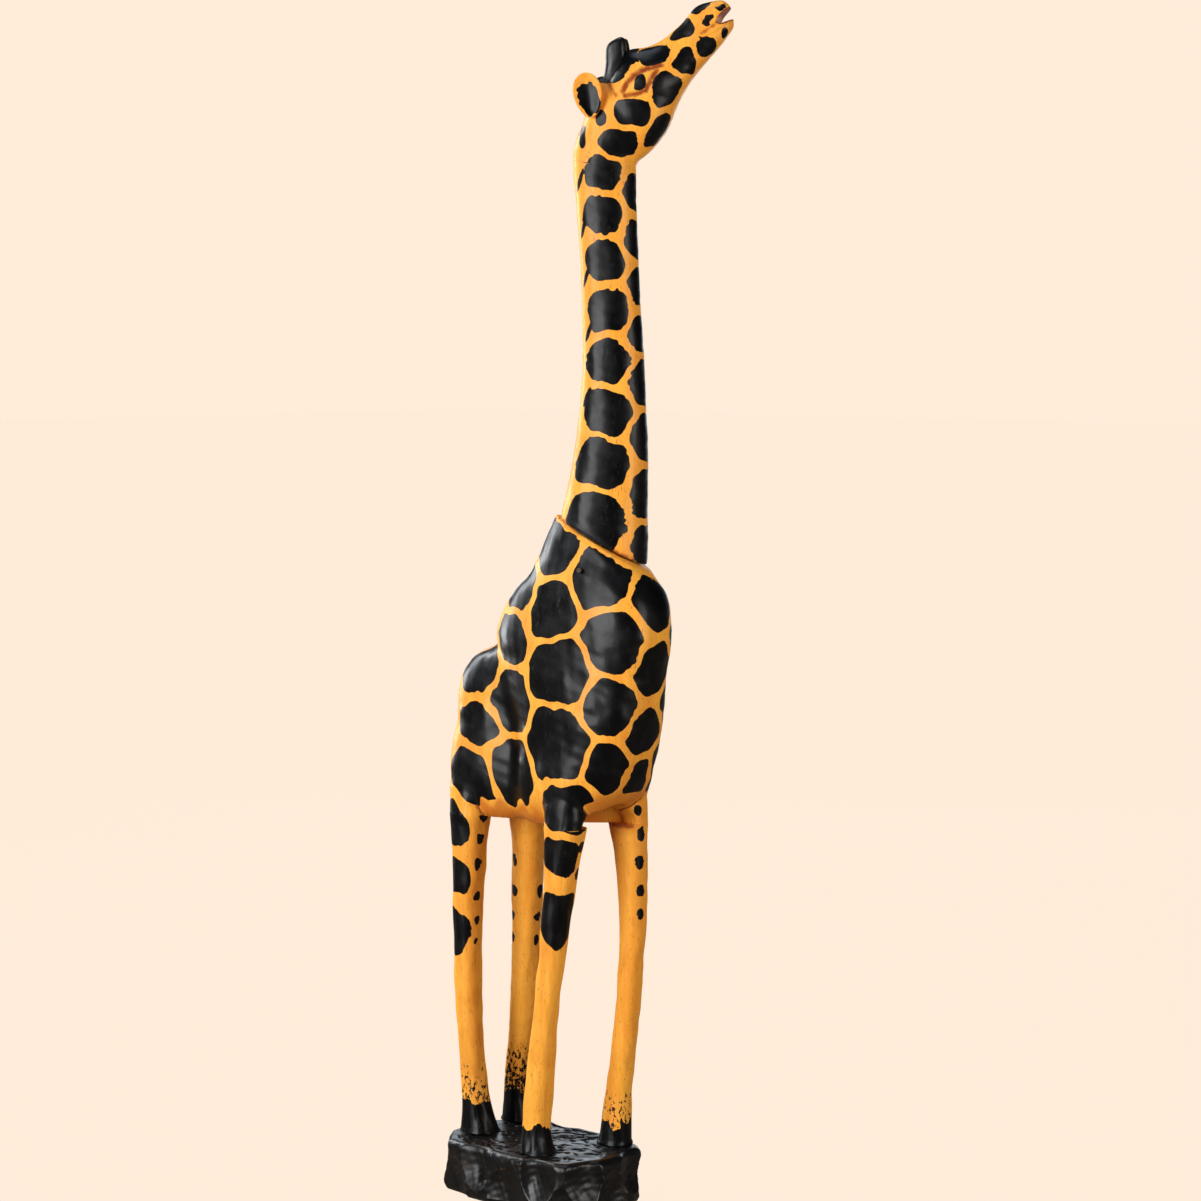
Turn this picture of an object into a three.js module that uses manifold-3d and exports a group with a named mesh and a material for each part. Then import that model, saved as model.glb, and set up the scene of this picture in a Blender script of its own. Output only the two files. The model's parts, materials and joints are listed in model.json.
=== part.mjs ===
// A tall carved and painted giraffe on a gouged wooden block, about 1.48 m high.
// Millimetres, +Z up. The origin is the middle of the block's underside, +X is the way the body
// faces and +Y is the giraffe's left. The neck and head are turned to the giraffe's left.
// Every joint is a glued peg or tenon with a fit gap round it, and the legs are screwed from below.

import * as THREE from 'three';
import { mergeVertices } from 'three/addons/utils/BufferGeometryUtils.js';
import Module from 'manifold-3d';

const wasm = await Module();
wasm.setup();

// ---- driving dimensions ----

const fitGap = 0.3;              // space left round every tenon, peg and seam

const baseLength = 250;
const baseWidth = 164;
const baseHeight = 68;
const baseSquareness = 3.8;      // 2 is an oval, larger is closer to a rectangle
const scallopRadius = 34;        // the gouged hollows round the side of the block
const scallopDepth = 7;

const legHeight = 410;           // from the top of the block to the flat seat under the belly
const legThickness = 1;          // scales all four legs' girth
const footTenonDiameter = 22;
const footTenonLength = 28;
const hipTenonDiameter = 22;
const hipTenonLength = 45;

const screwDiameter = 5;
const screwLength = 34;
const screwHeadDiameter = 11;
const screwHeadHeight = 4;
const screwBite = 12;            // how far a foot screw goes up into its leg's tenon

const bodyWidth = 132;           // widest part of the barrel
const chestArchHeight = 28;      // hollow scooped under the chest, between the front legs
const chestArchWidth = 68;       // across that hollow at the legs' tops
const collarSlope = 28;          // degrees that the collar falls towards the front
const collarHeight = 353;        // collar's middle above the leg seat
const neckTurn = 30;             // degrees that the neck and head are turned to the left
const neckX = 85;
const neckY = 12;
const neckLength = 453;          // from the collar's middle to the seam under the jaw
const neckThickness = 1;
const neckTenonWidth = 44;
const neckTenonDepth = 56;
const neckTenonLength = 60;
const neckPinDiameter = 6;

const headPitch = 41;            // degrees that the face is raised above level
const headLength = 180;
const headDowelDiameter = 20;
const headDowelLength = 70;
const seamTilt = 15;             // degrees that the head seam falls towards the throat

const hornLength = 44;
const hornSpread = 12;
const hornPegDiameter = 9;
const earLength = 62;
const earWidth = 34;
const earThickness = 13;
const earPegDiameter = 8;
const pegLength = 14;

const tailLength = 190;
const tailThickness = 15;
const tailPegDiameter = 8;

const seatZ = baseHeight + legHeight;
const radians = THREE.MathUtils.degToRad;

// ---- solids ----

function toSolid(geometry) {
  const bare = geometry.index ? geometry.toNonIndexed() : geometry.clone();
  bare.deleteAttribute('normal');
  bare.deleteAttribute('uv');
  const merged = mergeVertices(bare, 1e-4);
  const mesh = new wasm.Mesh({
    numProp: 3,
    vertProperties: new Float32Array(merged.attributes.position.array),
    triVerts: new Uint32Array(merged.index.array),
  });
  return new wasm.Manifold(mesh);
}

function toGeometry(solid) {
  const mesh = solid.getMesh();
  const geometry = new THREE.BufferGeometry();
  geometry.setAttribute('position', new THREE.BufferAttribute(new Float32Array(mesh.vertProperties), 3));
  geometry.setIndex(new THREE.BufferAttribute(new Uint32Array(mesh.triVerts), 1));
  return geometry.toNonIndexed();
}

// A closed loft. Each section is [height, centreX, centreY, halfX, halfY], and between sections
// the centre and the half sizes follow smooth curves. The rings are superellipses.
function loft(sections, squareness, sides, ringsPerSpan) {
  const centres = sections.map(([z, x, y]) => new THREE.Vector3(x, y, z));
  const halves = sections.map(([, , , halfX, halfY]) => new THREE.Vector3(halfX, halfY, 0));
  const centreCurve = new THREE.CatmullRomCurve3(centres, false, 'catmullrom', 0.5);
  const halfCurve = new THREE.CatmullRomCurve3(halves, false, 'catmullrom', 0.5);
  const rings = (sections.length - 1) * ringsPerSpan;
  const geometry = new THREE.CylinderGeometry(1, 1, 1, sides, rings);
  geometry.rotateX(Math.PI / 2);
  const position = geometry.attributes.position;
  for (let i = 0; i < position.count; i += 1) {
    const along = THREE.MathUtils.clamp(position.getZ(i) + 0.5, 0, 1);
    const centre = centreCurve.getPoint(along);
    const half = halfCurve.getPoint(along);
    const radius = Math.hypot(position.getX(i), position.getY(i));
    const angle = Math.atan2(position.getY(i), position.getX(i));
    const cos = Math.cos(angle);
    const sin = Math.sin(angle);
    const round = (Math.abs(cos) ** squareness + Math.abs(sin) ** squareness) ** (-1 / squareness);
    position.setXYZ(
      i,
      centre.x + radius * round * cos * half.x,
      centre.y + radius * round * sin * half.y,
      centre.z,
    );
  }
  return toSolid(geometry);
}

function cylinderAt(diameter, length, x, y, z) {
  const geometry = new THREE.CylinderGeometry(diameter / 2, diameter / 2, length, 16);
  geometry.rotateX(Math.PI / 2);
  geometry.translate(x, y, z + length / 2);
  return geometry;
}

function ellipsoidAt(halfX, halfY, halfZ, x, y, z) {
  const geometry = new THREE.SphereGeometry(1, 16, 10);
  geometry.scale(halfX, halfY, halfZ);
  geometry.translate(x, y, z);
  return geometry;
}

// A large block whose underside is the XY plane, tipped and lifted: it cuts off all above a seam.
function halfSpaceAbove(height, tilt, turn, x, y) {
  const size = 1200;
  const geometry = new THREE.BoxGeometry(size, size, size);
  geometry.translate(0, 0, size / 2);
  geometry.rotateY(radians(tilt));
  geometry.rotateZ(radians(turn));
  geometry.translate(x, y, height);
  return toSolid(geometry);
}

function halfSpaceBelow(height, tilt, turn, x, y) {
  const size = 1200;
  const geometry = new THREE.BoxGeometry(size, size, size);
  geometry.translate(0, 0, -size / 2);
  geometry.rotateY(radians(tilt));
  geometry.rotateZ(radians(turn));
  geometry.translate(x, y, height);
  return toSolid(geometry);
}

// Moves a geometry from the turned frame of the neck (x forward, y left, z up from the floor)
// into the statue's frame.
function turned(geometry) {
  geometry.rotateZ(radians(neckTurn));
  geometry.translate(neckX, neckY, 0);
  return geometry;
}

// ---- finishes ----

const finishes = {
  yellow: { color: 0xe9973a, roughness: 0.38, metalness: 0 },
  black: { color: 0x14120f, roughness: 0.3, metalness: 0 },
  bareWood: { color: 0xb98a57, roughness: 0.7, metalness: 0 },
  steel: { color: 0x9a9a98, roughness: 0.35, metalness: 1 },
};

const giraffe = new THREE.Group();

function addPiece(parent, name, solid, finish, anchor) {
  const geometry = toGeometry(solid);
  geometry.translate(-anchor[0], -anchor[1], -anchor[2]);
  geometry.computeVertexNormals();
  const mesh = new THREE.Mesh(geometry, new THREE.MeshStandardMaterial(finishes[finish]));
  mesh.name = name;
  mesh.position.set(...anchor);
  parent.add(mesh);
}

// ---- legs ----

// Each leg's sections run from the foot (share 0 of the leg's height) to the seat (share 1):
// [share, centreX, centreY, halfX, halfY].
const legs = {
  rear_right_leg: [
    [0, -98, -18, 25, 22],
    [0.08, -102, -20, 19, 18],
    [0.18, -104, -23, 16, 15],
    [0.36, -107, -27, 17, 16],
    [0.58, -107, -30, 18, 17],
    [0.86, -102, -32, 21, 20],
    [1, -99, -32, 26, 24],
  ],
  rear_left_leg: [
    [0, -102, 56, 22, 20],
    [0.08, -105, 56, 17, 16],
    [0.18, -103, 55, 15, 15],
    [0.33, -92, 54, 16, 16],
    [0.58, -84, 52, 18, 17],
    [0.86, -76, 48, 22, 19],
    [1, -72, 46, 28, 22],
  ],
  front_right_leg: [
    [0, 32, -45, 22, 21],
    [0.07, 28, -45, 18, 18],
    [0.24, 35, -44, 17, 17],
    [0.42, 44, -44, 15, 15],
    [0.62, 54, -42, 17, 16],
    [0.83, 65, -40, 21, 19],
    [1, 73, -39, 27, 23],
  ],
  front_left_leg: [
    [0, 70, 54, 22, 20],
    [0.14, 76, 54, 17, 16],
    [0.26, 84, 53, 16, 15],
    [0.5, 98, 51, 15, 15],
    [0.7, 104, 50, 17, 16],
    [0.87, 103, 49, 20, 18],
    [1, 99, 47, 25, 21],
  ],
};

function legSections(shares) {
  return shares.map(([share, x, y, halfX, halfY]) => [
    baseHeight + fitGap + share * (legHeight - 2 * fitGap),
    x,
    y,
    halfX * legThickness,
    halfY * legThickness,
  ]);
}

const counterboreDepth = baseHeight - footTenonLength - screwLength + screwBite - screwHeadHeight;
const footScrewReach = screwHeadHeight + counterboreDepth;

function buildLeg(name, shares) {
  const [, footX, footY] = shares[0];
  const [, hipX, hipY] = shares[shares.length - 1];
  const shaft = loft(legSections(shares), 2.4, 16, 2);
  const footTenon = toSolid(cylinderAt(
    footTenonDiameter,
    footTenonLength + 1,
    footX,
    footY,
    baseHeight - footTenonLength,
  ));
  const hipTenon = toSolid(cylinderAt(hipTenonDiameter, hipTenonLength + 1, hipX, hipY, seatZ - 1));
  const pilot = toSolid(cylinderAt(
    screwDiameter + 2 * fitGap,
    screwLength + footScrewReach + fitGap,
    footX,
    footY,
    0,
  ));
  const solid = shaft.add(footTenon).add(hipTenon).subtract(pilot);
  addPiece(giraffe, name, solid, 'yellow', [footX, footY, baseHeight]);
}

for (const [name, shares] of Object.entries(legs)) buildLeg(name, shares);

// ---- foot screws ----

function buildScrew(name, footX, footY) {
  const head = toSolid(cylinderAt(screwHeadDiameter, screwHeadHeight, footX, footY, counterboreDepth));
  const shank = toSolid(cylinderAt(
    screwDiameter,
    screwLength,
    footX,
    footY,
    counterboreDepth + screwHeadHeight - 1,
  ));
  const slot = new THREE.BoxGeometry(screwHeadDiameter + 2, 1.4, 1.6);
  slot.translate(footX, footY, counterboreDepth);
  const solid = head.add(shank).subtract(toSolid(slot));
  addPiece(giraffe, name, solid, 'steel', [footX, footY, counterboreDepth]);
}

for (const [name, shares] of Object.entries(legs)) {
  buildScrew(name.replace('_leg', '_foot_screw'), shares[0][1], shares[0][2]);
}

// ---- base block ----

function buildBase() {
  const halfX = baseLength / 2;
  const halfY = baseWidth / 2;
  const rim = 9;
  let block = loft(
    [
      [0, 0, 0, halfX - 6, halfY - 6],
      [baseHeight * 0.35, 0, 0, halfX, halfY],
      [baseHeight - rim, 0, 0, halfX - 2, halfY - 2],
      [baseHeight, 0, 0, halfX - rim - 2, halfY - rim - 2],
    ],
    baseSquareness,
    40,
    2,
  );
  const scallops = 12;
  for (let i = 0; i < scallops; i += 1) {
    const angle = ((i + 0.5) / scallops) * 2 * Math.PI;
    const cos = Math.cos(angle);
    const sin = Math.sin(angle);
    const round = (Math.abs(cos) ** baseSquareness + Math.abs(sin) ** baseSquareness)
      ** (-1 / baseSquareness);
    const reach = scallopRadius - scallopDepth;
    const x = round * cos * halfX + cos * reach;
    const y = round * sin * halfY + sin * reach;
    const lift = baseHeight * (i % 2 === 0 ? 0.62 : 0.4);
    const hollow = ellipsoidAt(scallopRadius, scallopRadius, scallopRadius * 0.9, x, y, lift);
    block = block.subtract(toSolid(hollow));
  }
  for (const shares of Object.values(legs)) {
    const [, footX, footY] = shares[0];
    const mortise = cylinderAt(
      footTenonDiameter + 2 * fitGap,
      footTenonLength + fitGap + 1,
      footX,
      footY,
      baseHeight - footTenonLength - fitGap,
    );
    const counterbore = cylinderAt(
      screwHeadDiameter + 2,
      counterboreDepth + screwHeadHeight + fitGap + 1,
      footX,
      footY,
      -1,
    );
    const clearance = cylinderAt(screwDiameter + 2 * fitGap, baseHeight, footX, footY, 1);
    block = block
      .subtract(toSolid(mortise))
      .subtract(toSolid(counterbore))
      .subtract(toSolid(clearance));
  }
  addPiece(giraffe, 'base_block', block, 'black', [0, 0, 0]);
}

buildBase();

// ---- body ----

// Sections of the barrel (chest, ribs and shoulders) and of the rump: height above the leg seat,
// centreX, halfX, and half width as a share of the body's half width.
const bodyY = 9;
const barrelSections = [
  [-4, 28, 44, 0.55],
  [14, 38, 68, 0.82],
  [50, 54, 86, 0.97],
  [120, 67, 96, 1],
  [185, 60, 114, 0.98],
  [235, 58, 126, 0.95],
  [280, 68, 112, 0.88],
  [318, 76, 82, 0.74],
  [385, 72, 48, 0.44],
];
const rumpSections = [
  [-6, -66, 40, 0.55],
  [14, -70, 56, 0.8],
  [60, -72, 62, 0.9],
  [120, -72, 61, 0.9],
  [172, -70, 57, 0.84],
  [202, -60, 46, 0.64],
  [216, -48, 24, 0.32],
];

function bodySections(rows) {
  return rows.map(([above, x, halfX, share]) => [
    seatZ + above,
    x,
    bodyY,
    halfX,
    share * bodyWidth / 2,
  ]);
}

// The top of each leg goes on up inside the body, as the haunch or shoulder it is carved from.
function haunch(shares) {
  const [, x, y, halfX, halfY] = shares[shares.length - 1];
  const inward = Math.sign(bodyY - y);
  return loft(
    [
      [seatZ - 4, x, y, halfX * legThickness, halfY * legThickness],
      [seatZ + 45, x, y + inward * 4, halfX, halfY],
      [seatZ + 100, x, y + inward * 16, halfX - 6, halfY - 6],
    ],
    2.4,
    16,
    2,
  );
}

const collarZ = seatZ + collarHeight;

// The neck and the socket that takes it share these sections, in the neck's turned frame:
// [share of the neck's length, forward, halfDepth, halfWidth].
const neckRows = [
  [-0.16, -4, 60, 43],
  [-0.02, 1.5, 56.5, 41],
  [0.08, 5.5, 52.7, 38.5],
  [0.18, 10.8, 48, 35.5],
  [0.3, 14.6, 43, 32],
  [0.42, 16, 39.4, 30],
  [0.56, 14.8, 36.5, 27.5],
  [0.72, 11.3, 35.3, 26.5],
  [0.86, 8, 36, 27],
  [1, 5, 38.3, 28],
  [1.1, 7, 37, 30],
];

function neckSections() {
  return neckRows.map(([share, forward, halfDepth, halfWidth]) => [
    collarZ + share * neckLength,
    forward,
    0,
    halfDepth * neckThickness,
    halfWidth * neckThickness,
  ]);
}

function tenonBox(grow, top) {
  const length = neckTenonLength + grow;
  const geometry = new THREE.BoxGeometry(
    neckTenonDepth + 2 * grow,
    neckTenonWidth + 2 * grow,
    length + top,
  );
  geometry.translate(0, 0, (top - length) / 2);
  geometry.translate(0, 0, collarZ);
  return turned(geometry);
}

// The collar peg goes in from the right side, through the collar wall and into the neck's tenon.
function neckPin(diameter, extra) {
  const length = 44 + extra;
  const geometry = new THREE.CylinderGeometry(diameter / 2, diameter / 2, length, 12);
  geometry.translate(0, -length / 2, 0);
  geometry.translate(-14, -14 + extra / 2, collarZ - 34);
  return turned(geometry);
}

const tailX = -133;
const tailZ = seatZ + 150;

function tailPeg(diameter, length) {
  const geometry = new THREE.CylinderGeometry(diameter / 2, diameter / 2, length, 12);
  geometry.rotateZ(Math.PI / 2);
  geometry.translate(tailX + length / 2 - 2, bodyY, tailZ);
  return geometry;
}

function buildBody() {
  let body = loft(bodySections(barrelSections), 2.6, 28, 2);
  body = body.add(loft(bodySections(rumpSections), 2.5, 24, 2));
  for (const shares of Object.values(legs)) body = body.add(haunch(shares));
  body = body.subtract(halfSpaceBelow(seatZ, 0, 0, 0, 0));
  const chestArch = ellipsoidAt(75, chestArchWidth / 2, chestArchHeight, 115, bodyY - 4, seatZ);
  body = body.subtract(toSolid(chestArch));
  body = body.subtract(halfSpaceAbove(collarZ, collarSlope, neckTurn, neckX, neckY));
  for (const shares of Object.values(legs)) {
    const [, hipX, hipY] = shares[shares.length - 1];
    const mortise = cylinderAt(
      hipTenonDiameter + 2 * fitGap,
      hipTenonLength + fitGap + 1,
      hipX,
      hipY,
      seatZ - 1,
    );
    body = body.subtract(toSolid(mortise));
  }
  body = body.subtract(toSolid(tenonBox(fitGap, 60)));
  body = body.subtract(toSolid(neckPin(neckPinDiameter + 2 * fitGap, 60)));
  body = body.subtract(toSolid(tailPeg(tailPegDiameter + 2 * fitGap, pegLength + 12)));
  addPiece(giraffe, 'body', body, 'yellow', [0, bodyY, seatZ]);
}

buildBody();

// ---- neck ----

const seamZ = collarZ + neckLength;

function headDowel(diameter, length) {
  const geometry = new THREE.CylinderGeometry(diameter / 2, diameter / 2, length, 16);
  geometry.rotateX(Math.PI / 2);
  geometry.translate(6, 0, seamZ);
  return turned(geometry);
}

function neckShaft() {
  const upright = toGeometry(loft(neckSections(), 2.2, 20, 2));
  return toSolid(turned(upright));
}

function buildNeck() {
  const headRoom = headDowel(headDowelDiameter + 2 * fitGap, headDowelLength + 2 * fitGap);
  const neck = neckShaft()
    .subtract(halfSpaceBelow(collarZ + fitGap, collarSlope, neckTurn, neckX, neckY))
    .subtract(halfSpaceAbove(seamZ - fitGap / 2, seamTilt, neckTurn, neckX, neckY))
    .add(toSolid(tenonBox(0, 50)))
    .subtract(toSolid(headRoom))
    .subtract(toSolid(neckPin(neckPinDiameter + 2 * fitGap, 2 * fitGap)));
  addPiece(giraffe, 'neck', neck, 'yellow', [neckX, neckY, collarZ]);
}

buildNeck();

addPiece(
  giraffe,
  'neck_pin',
  toSolid(neckPin(neckPinDiameter, 0)),
  'bareWood',
  [neckX, neckY, collarZ],
);
addPiece(
  giraffe,
  'head_dowel',
  toSolid(headDowel(headDowelDiameter, headDowelLength)),
  'bareWood',
  [neckX, neckY, seamZ],
);

// ---- head ----

// The face is lofted along a line raised by headPitch, from the back of the skull to the lips:
// [share of the head's length, offset towards the crown, halfDepth, halfWidth].
const faceRows = [
  [-0.2, -30, 14, 14],
  [-0.1, -21, 37, 27],
  [0.02, -14, 46, 33],
  [0.12, -9.5, 47.5, 36],
  [0.22, -4.5, 48, 36],
  [0.34, 3.2, 44.8, 34],
  [0.5, 0, 31.5, 27],
  [0.7, 1.5, 27, 21.5],
  [0.87, 4.8, 26.2, 20.5],
  [0.96, 3.8, 21.3, 17],
  [1, 5, 16, 12],
  [1.03, 7, 9, 7],
];
const skullForward = 20;
const skullAboveSeam = 62;

function faceFrame(geometry) {
  geometry.rotateY(radians(90 - headPitch));
  geometry.translate(skullForward, 0, seamZ + skullAboveSeam);
  return turned(geometry);
}

function face() {
  const sections = faceRows.map(([share, crown, halfDepth, halfWidth]) => [
    share * headLength,
    -crown,
    0,
    halfDepth,
    halfWidth,
  ]);
  return toSolid(faceFrame(toGeometry(loft(sections, 2.3, 20, 2))));
}

function mouth() {
  const wedge = new THREE.Shape();
  wedge.moveTo(headLength * 0.92, -1);
  wedge.lineTo(headLength * 1.06, -16);
  wedge.lineTo(headLength * 1.06, 6);
  wedge.closePath();
  const geometry = new THREE.ExtrudeGeometry(wedge, { depth: 80, bevelEnabled: false });
  geometry.translate(0, 0, -40);
  geometry.rotateX(-Math.PI / 2);
  geometry.rotateY(-Math.PI / 2);
  return toSolid(faceFrame(geometry));
}

// Seats for the ears and horns, in the neck's turned frame: forward, side and height above the seam.
const sides = { right: -1, left: 1 };
const hornForward = 20;
const hornAboveSeam = 110;
const earForward = 0.5;
const earAboveSeam = 74;
const earSide = 34;

// The foot of the horn is straight-sided, so that it drops into a pocket of its own outline.
function hornSolid(side, grow) {
  const sections = [
    [-grow, 2, side * hornSpread, 14 + grow, 9 + grow],
    [hornLength * 0.3, 1, side * hornSpread, 12.5 + grow, 9 + grow],
    [hornLength * 0.6, 0, side * (hornSpread + 1), 10.8 + grow, 8 + grow],
    [hornLength, 0, side * (hornSpread + 2), 7 + grow, 6 + grow],
  ];
  const geometry = toGeometry(loft(sections, 2.2, 12, 2));
  geometry.translate(hornForward, 0, seamZ + hornAboveSeam);
  return toSolid(turned(geometry)).subtract(hornTop());
}

// The horns end in flat tops that slope down towards the nape.
function hornTop() {
  return halfSpaceAbove(seamZ + hornAboveSeam + hornLength * 0.62, -38, neckTurn, neckX, neckY);
}

function hornPeg(side, diameter, length) {
  const geometry = cylinderAt(
    diameter,
    length + 4,
    hornForward + 4,
    side * hornSpread,
    seamZ + hornAboveSeam - length,
  );
  return toSolid(turned(geometry));
}

function earSolid(side) {
  const geometry = new THREE.SphereGeometry(1, 16, 10);
  geometry.scale(earWidth / 2, earThickness / 2, earLength / 2);
  geometry.rotateY(radians(-12));
  geometry.translate(earForward - 8, side * (earSide + 7), seamZ + earAboveSeam + 6);
  return toSolid(turned(geometry));
}

function earPeg(side, diameter, length) {
  const geometry = new THREE.CylinderGeometry(diameter / 2, diameter / 2, length + 6, 12);
  geometry.translate(earForward - 2, side * (earSide + 3 - length / 2), seamZ + earAboveSeam - 2);
  return toSolid(turned(geometry));
}

// A flat facet cut on the skull for a seat: everything outside it on that side goes.
function earSeat(side, gap) {
  const geometry = new THREE.BoxGeometry(earWidth + 26, 40, earLength + 26);
  geometry.translate(earForward - 8, side * (earSide + 20 + gap), seamZ + earAboveSeam + 6);
  return toSolid(turned(geometry));
}

function buildHead() {
  const occiput = neckShaft().add(toSolid(turned(
    ellipsoidAt(38, 33, 48, 11, 0, seamZ + 44),
  )));
  let head = face()
    .add(occiput)
    .subtract(halfSpaceBelow(seamZ + fitGap / 2, seamTilt, neckTurn, neckX, neckY))
    .subtract(mouth())
    .subtract(toSolid(headDowel(headDowelDiameter + 2 * fitGap, headDowelLength + 2 * fitGap)));
  for (const side of Object.values(sides)) {
    head = head
      .subtract(earSeat(side, 0))
      .subtract(earPeg(side, earPegDiameter + 2 * fitGap, pegLength + fitGap))
      .subtract(hornPeg(side, hornPegDiameter + 2 * fitGap, pegLength + fitGap))
      .subtract(hornSolid(side, fitGap));
  }
  addPiece(giraffe, 'head', head, 'yellow', [neckX, neckY, seamZ]);
}

buildHead();

for (const [word, side] of Object.entries(sides)) {
  const horn = hornSolid(side, 0).add(hornPeg(side, hornPegDiameter, pegLength));
  addPiece(giraffe, `${word}_horn`, horn, 'black', [neckX, neckY, seamZ + hornAboveSeam]);
  const ear = earSolid(side)
    .intersect(earSeat(side, fitGap))
    .add(earPeg(side, earPegDiameter, pegLength));
  addPiece(giraffe, `${word}_ear`, ear, 'yellow', [neckX, neckY, seamZ + earAboveSeam]);
}

// ---- tail ----

function buildTail() {
  const half = tailThickness / 2;
  const sections = [
    [tailZ - tailLength, tailX - 14, bodyY, 3, 3],
    [tailZ - tailLength + 24, tailX - 13, bodyY, half + 2, half + 2],
    [tailZ - tailLength + 60, tailX - 12, bodyY, half - 1, half - 1],
    [tailZ - 40, tailX - 12, bodyY, half - 1, half - 1],
    [tailZ, tailX - 8, bodyY, half, half],
    [tailZ + 8, tailX - 6, bodyY, half - 2, half - 2],
  ];
  const tail = loft(sections, 2.1, 12, 2).add(toSolid(tailPeg(tailPegDiameter, pegLength)));
  addPiece(giraffe, 'tail', tail, 'black', [tailX, bodyY, tailZ]);
}

buildTail();

export default giraffe;
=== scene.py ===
import json
import math
import bmesh
import bpy
import numpy as np
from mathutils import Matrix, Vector

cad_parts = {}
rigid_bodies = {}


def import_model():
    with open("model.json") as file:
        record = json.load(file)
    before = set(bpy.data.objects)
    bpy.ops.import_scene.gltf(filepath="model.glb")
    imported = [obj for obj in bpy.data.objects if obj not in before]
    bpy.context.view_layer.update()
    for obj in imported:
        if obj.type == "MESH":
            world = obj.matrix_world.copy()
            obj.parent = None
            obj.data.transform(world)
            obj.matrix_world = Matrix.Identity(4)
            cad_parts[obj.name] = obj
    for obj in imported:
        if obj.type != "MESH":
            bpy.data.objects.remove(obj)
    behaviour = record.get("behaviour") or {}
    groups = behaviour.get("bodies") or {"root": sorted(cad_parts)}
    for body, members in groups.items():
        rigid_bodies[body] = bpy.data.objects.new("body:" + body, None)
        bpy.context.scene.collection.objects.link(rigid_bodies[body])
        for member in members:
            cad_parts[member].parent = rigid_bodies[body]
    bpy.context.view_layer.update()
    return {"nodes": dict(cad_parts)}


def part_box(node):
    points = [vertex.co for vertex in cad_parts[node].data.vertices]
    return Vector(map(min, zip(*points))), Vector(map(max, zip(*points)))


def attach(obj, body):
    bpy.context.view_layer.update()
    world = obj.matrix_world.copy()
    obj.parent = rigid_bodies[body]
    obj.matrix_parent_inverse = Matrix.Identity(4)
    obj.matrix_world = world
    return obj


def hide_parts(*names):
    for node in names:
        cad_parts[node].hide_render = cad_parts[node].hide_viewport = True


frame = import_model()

mm = 0.001
scene = bpy.context.scene


def corner(node, top, axis):
    # a CAD piece's highest or lowest place along one axis, in millimetres
    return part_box(node)[1 if top else 0][axis] / mm


# heights and places below are millimetres in the frame, hung from these levels of the CAD pieces
blockTop = corner("base_block", True, 2)
seatZ = corner("body", False, 2)
tailTop = corner("tail", True, 2)
joinGap = 0.3                      # the glue line that stays open between two pieces
sharpAngle = 58                    # degrees between faces from which an edge stays sharp

statue = {
    "neckX": 85.0, "neckY": 12.0, "neckTurn": 30.0,   # foot and turn of the neck
    "collarUp": 353.0, "collarSlope": 28.0,           # collar's middle above the leg seat, its fall
    "neckLength": 453.0, "seamTilt": 15.0,            # collar to the seam under the jaw
    "headPitch": 41.0, "headLength": 180.0,
    "bodyY": 9.0, "bodyWidth": 132.0,
}
collarZ = seatZ + statue["collarUp"]
seamZ = collarZ + statue["neckLength"]
turnCos = math.cos(math.radians(statue["neckTurn"]))
turnSin = math.sin(math.radians(statue["neckTurn"]))
slope = math.tan(math.radians(statue["collarSlope"]))
seamSlope = math.tan(math.radians(statue["seamTilt"]))


# shape tools

def smoothStep(low, high, value):
    # 0 below low, 1 above high, and between them three squares less two cubes of the share of the way
    share = np.clip((value - low) / (high - low), 0, 1)
    return share * share * (3 - 2 * share)


def softMin(a, b, width):
    # the smaller of a and b, with a fillet of that width where they cross: a straight mix of the two,
    # less the width times the mix's share times what it lacks of 1
    share = np.clip(0.5 + 0.5 * (b - a) / width, 0, 1)
    return b + (a - b) * share - width * share * (1 - share)


def softMax(a, b, width):
    # the larger of a and b with the same fillet: softMin of both turned negative, turned back
    return -softMin(-a, -b, width)


def wobble(points, wavelength, seed, waves=9):
    # a smooth seeded noise between about -1 and 1: a sum of sine waves in random directions
    draw = np.random.default_rng(seed)
    heading = draw.normal(size=(waves, 3))
    heading /= np.linalg.norm(heading, axis=1, keepdims=True)
    pitch = 2 * np.pi / (wavelength * draw.uniform(0.6, 1.6, waves))
    phase = draw.uniform(0, 2 * np.pi, waves)
    return np.sin(points @ (heading * pitch[:, None]).T + phase).sum(axis=1) / math.sqrt(waves)


def smoothRows(rows, steps=400):
    # a smooth curve through the rows: each span is a cubic whose slope at a row is half the step
    # between its neighbours
    rows = np.array(rows, dtype=float)
    ends = np.vstack([2 * rows[0] - rows[1], rows, 2 * rows[-1] - rows[-2]])
    at = np.linspace(0, len(rows) - 1, steps + 1)
    span = np.minimum(at.astype(int), len(rows) - 2)
    w = (at - span)[:, None]
    before, start, stop, after = ends[span], ends[span + 1], ends[span + 2], ends[span + 3]
    slopeIn, slopeOut = (stop - before) / 2, (after - start) / 2
    cubic = (2 * start - 2 * stop + slopeIn + slopeOut) * w ** 3
    square = (3 * stop - 3 * start - 2 * slopeIn - slopeOut) * w ** 2
    return cubic + square + slopeIn * w + start


def makeLoft(rows, squareness):
    # rows are [height, centreX, centreY, halfX, halfY]; each level is a superellipse
    return {"table": smoothRows(rows), "square": squareness}


def levelOf(loft, z):
    # the loft's centre and half sizes at a height, read straight between the rows of its table
    table = loft["table"]
    return [np.interp(z, table[:, 0], table[:, k]) for k in range(1, 5)]


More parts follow.
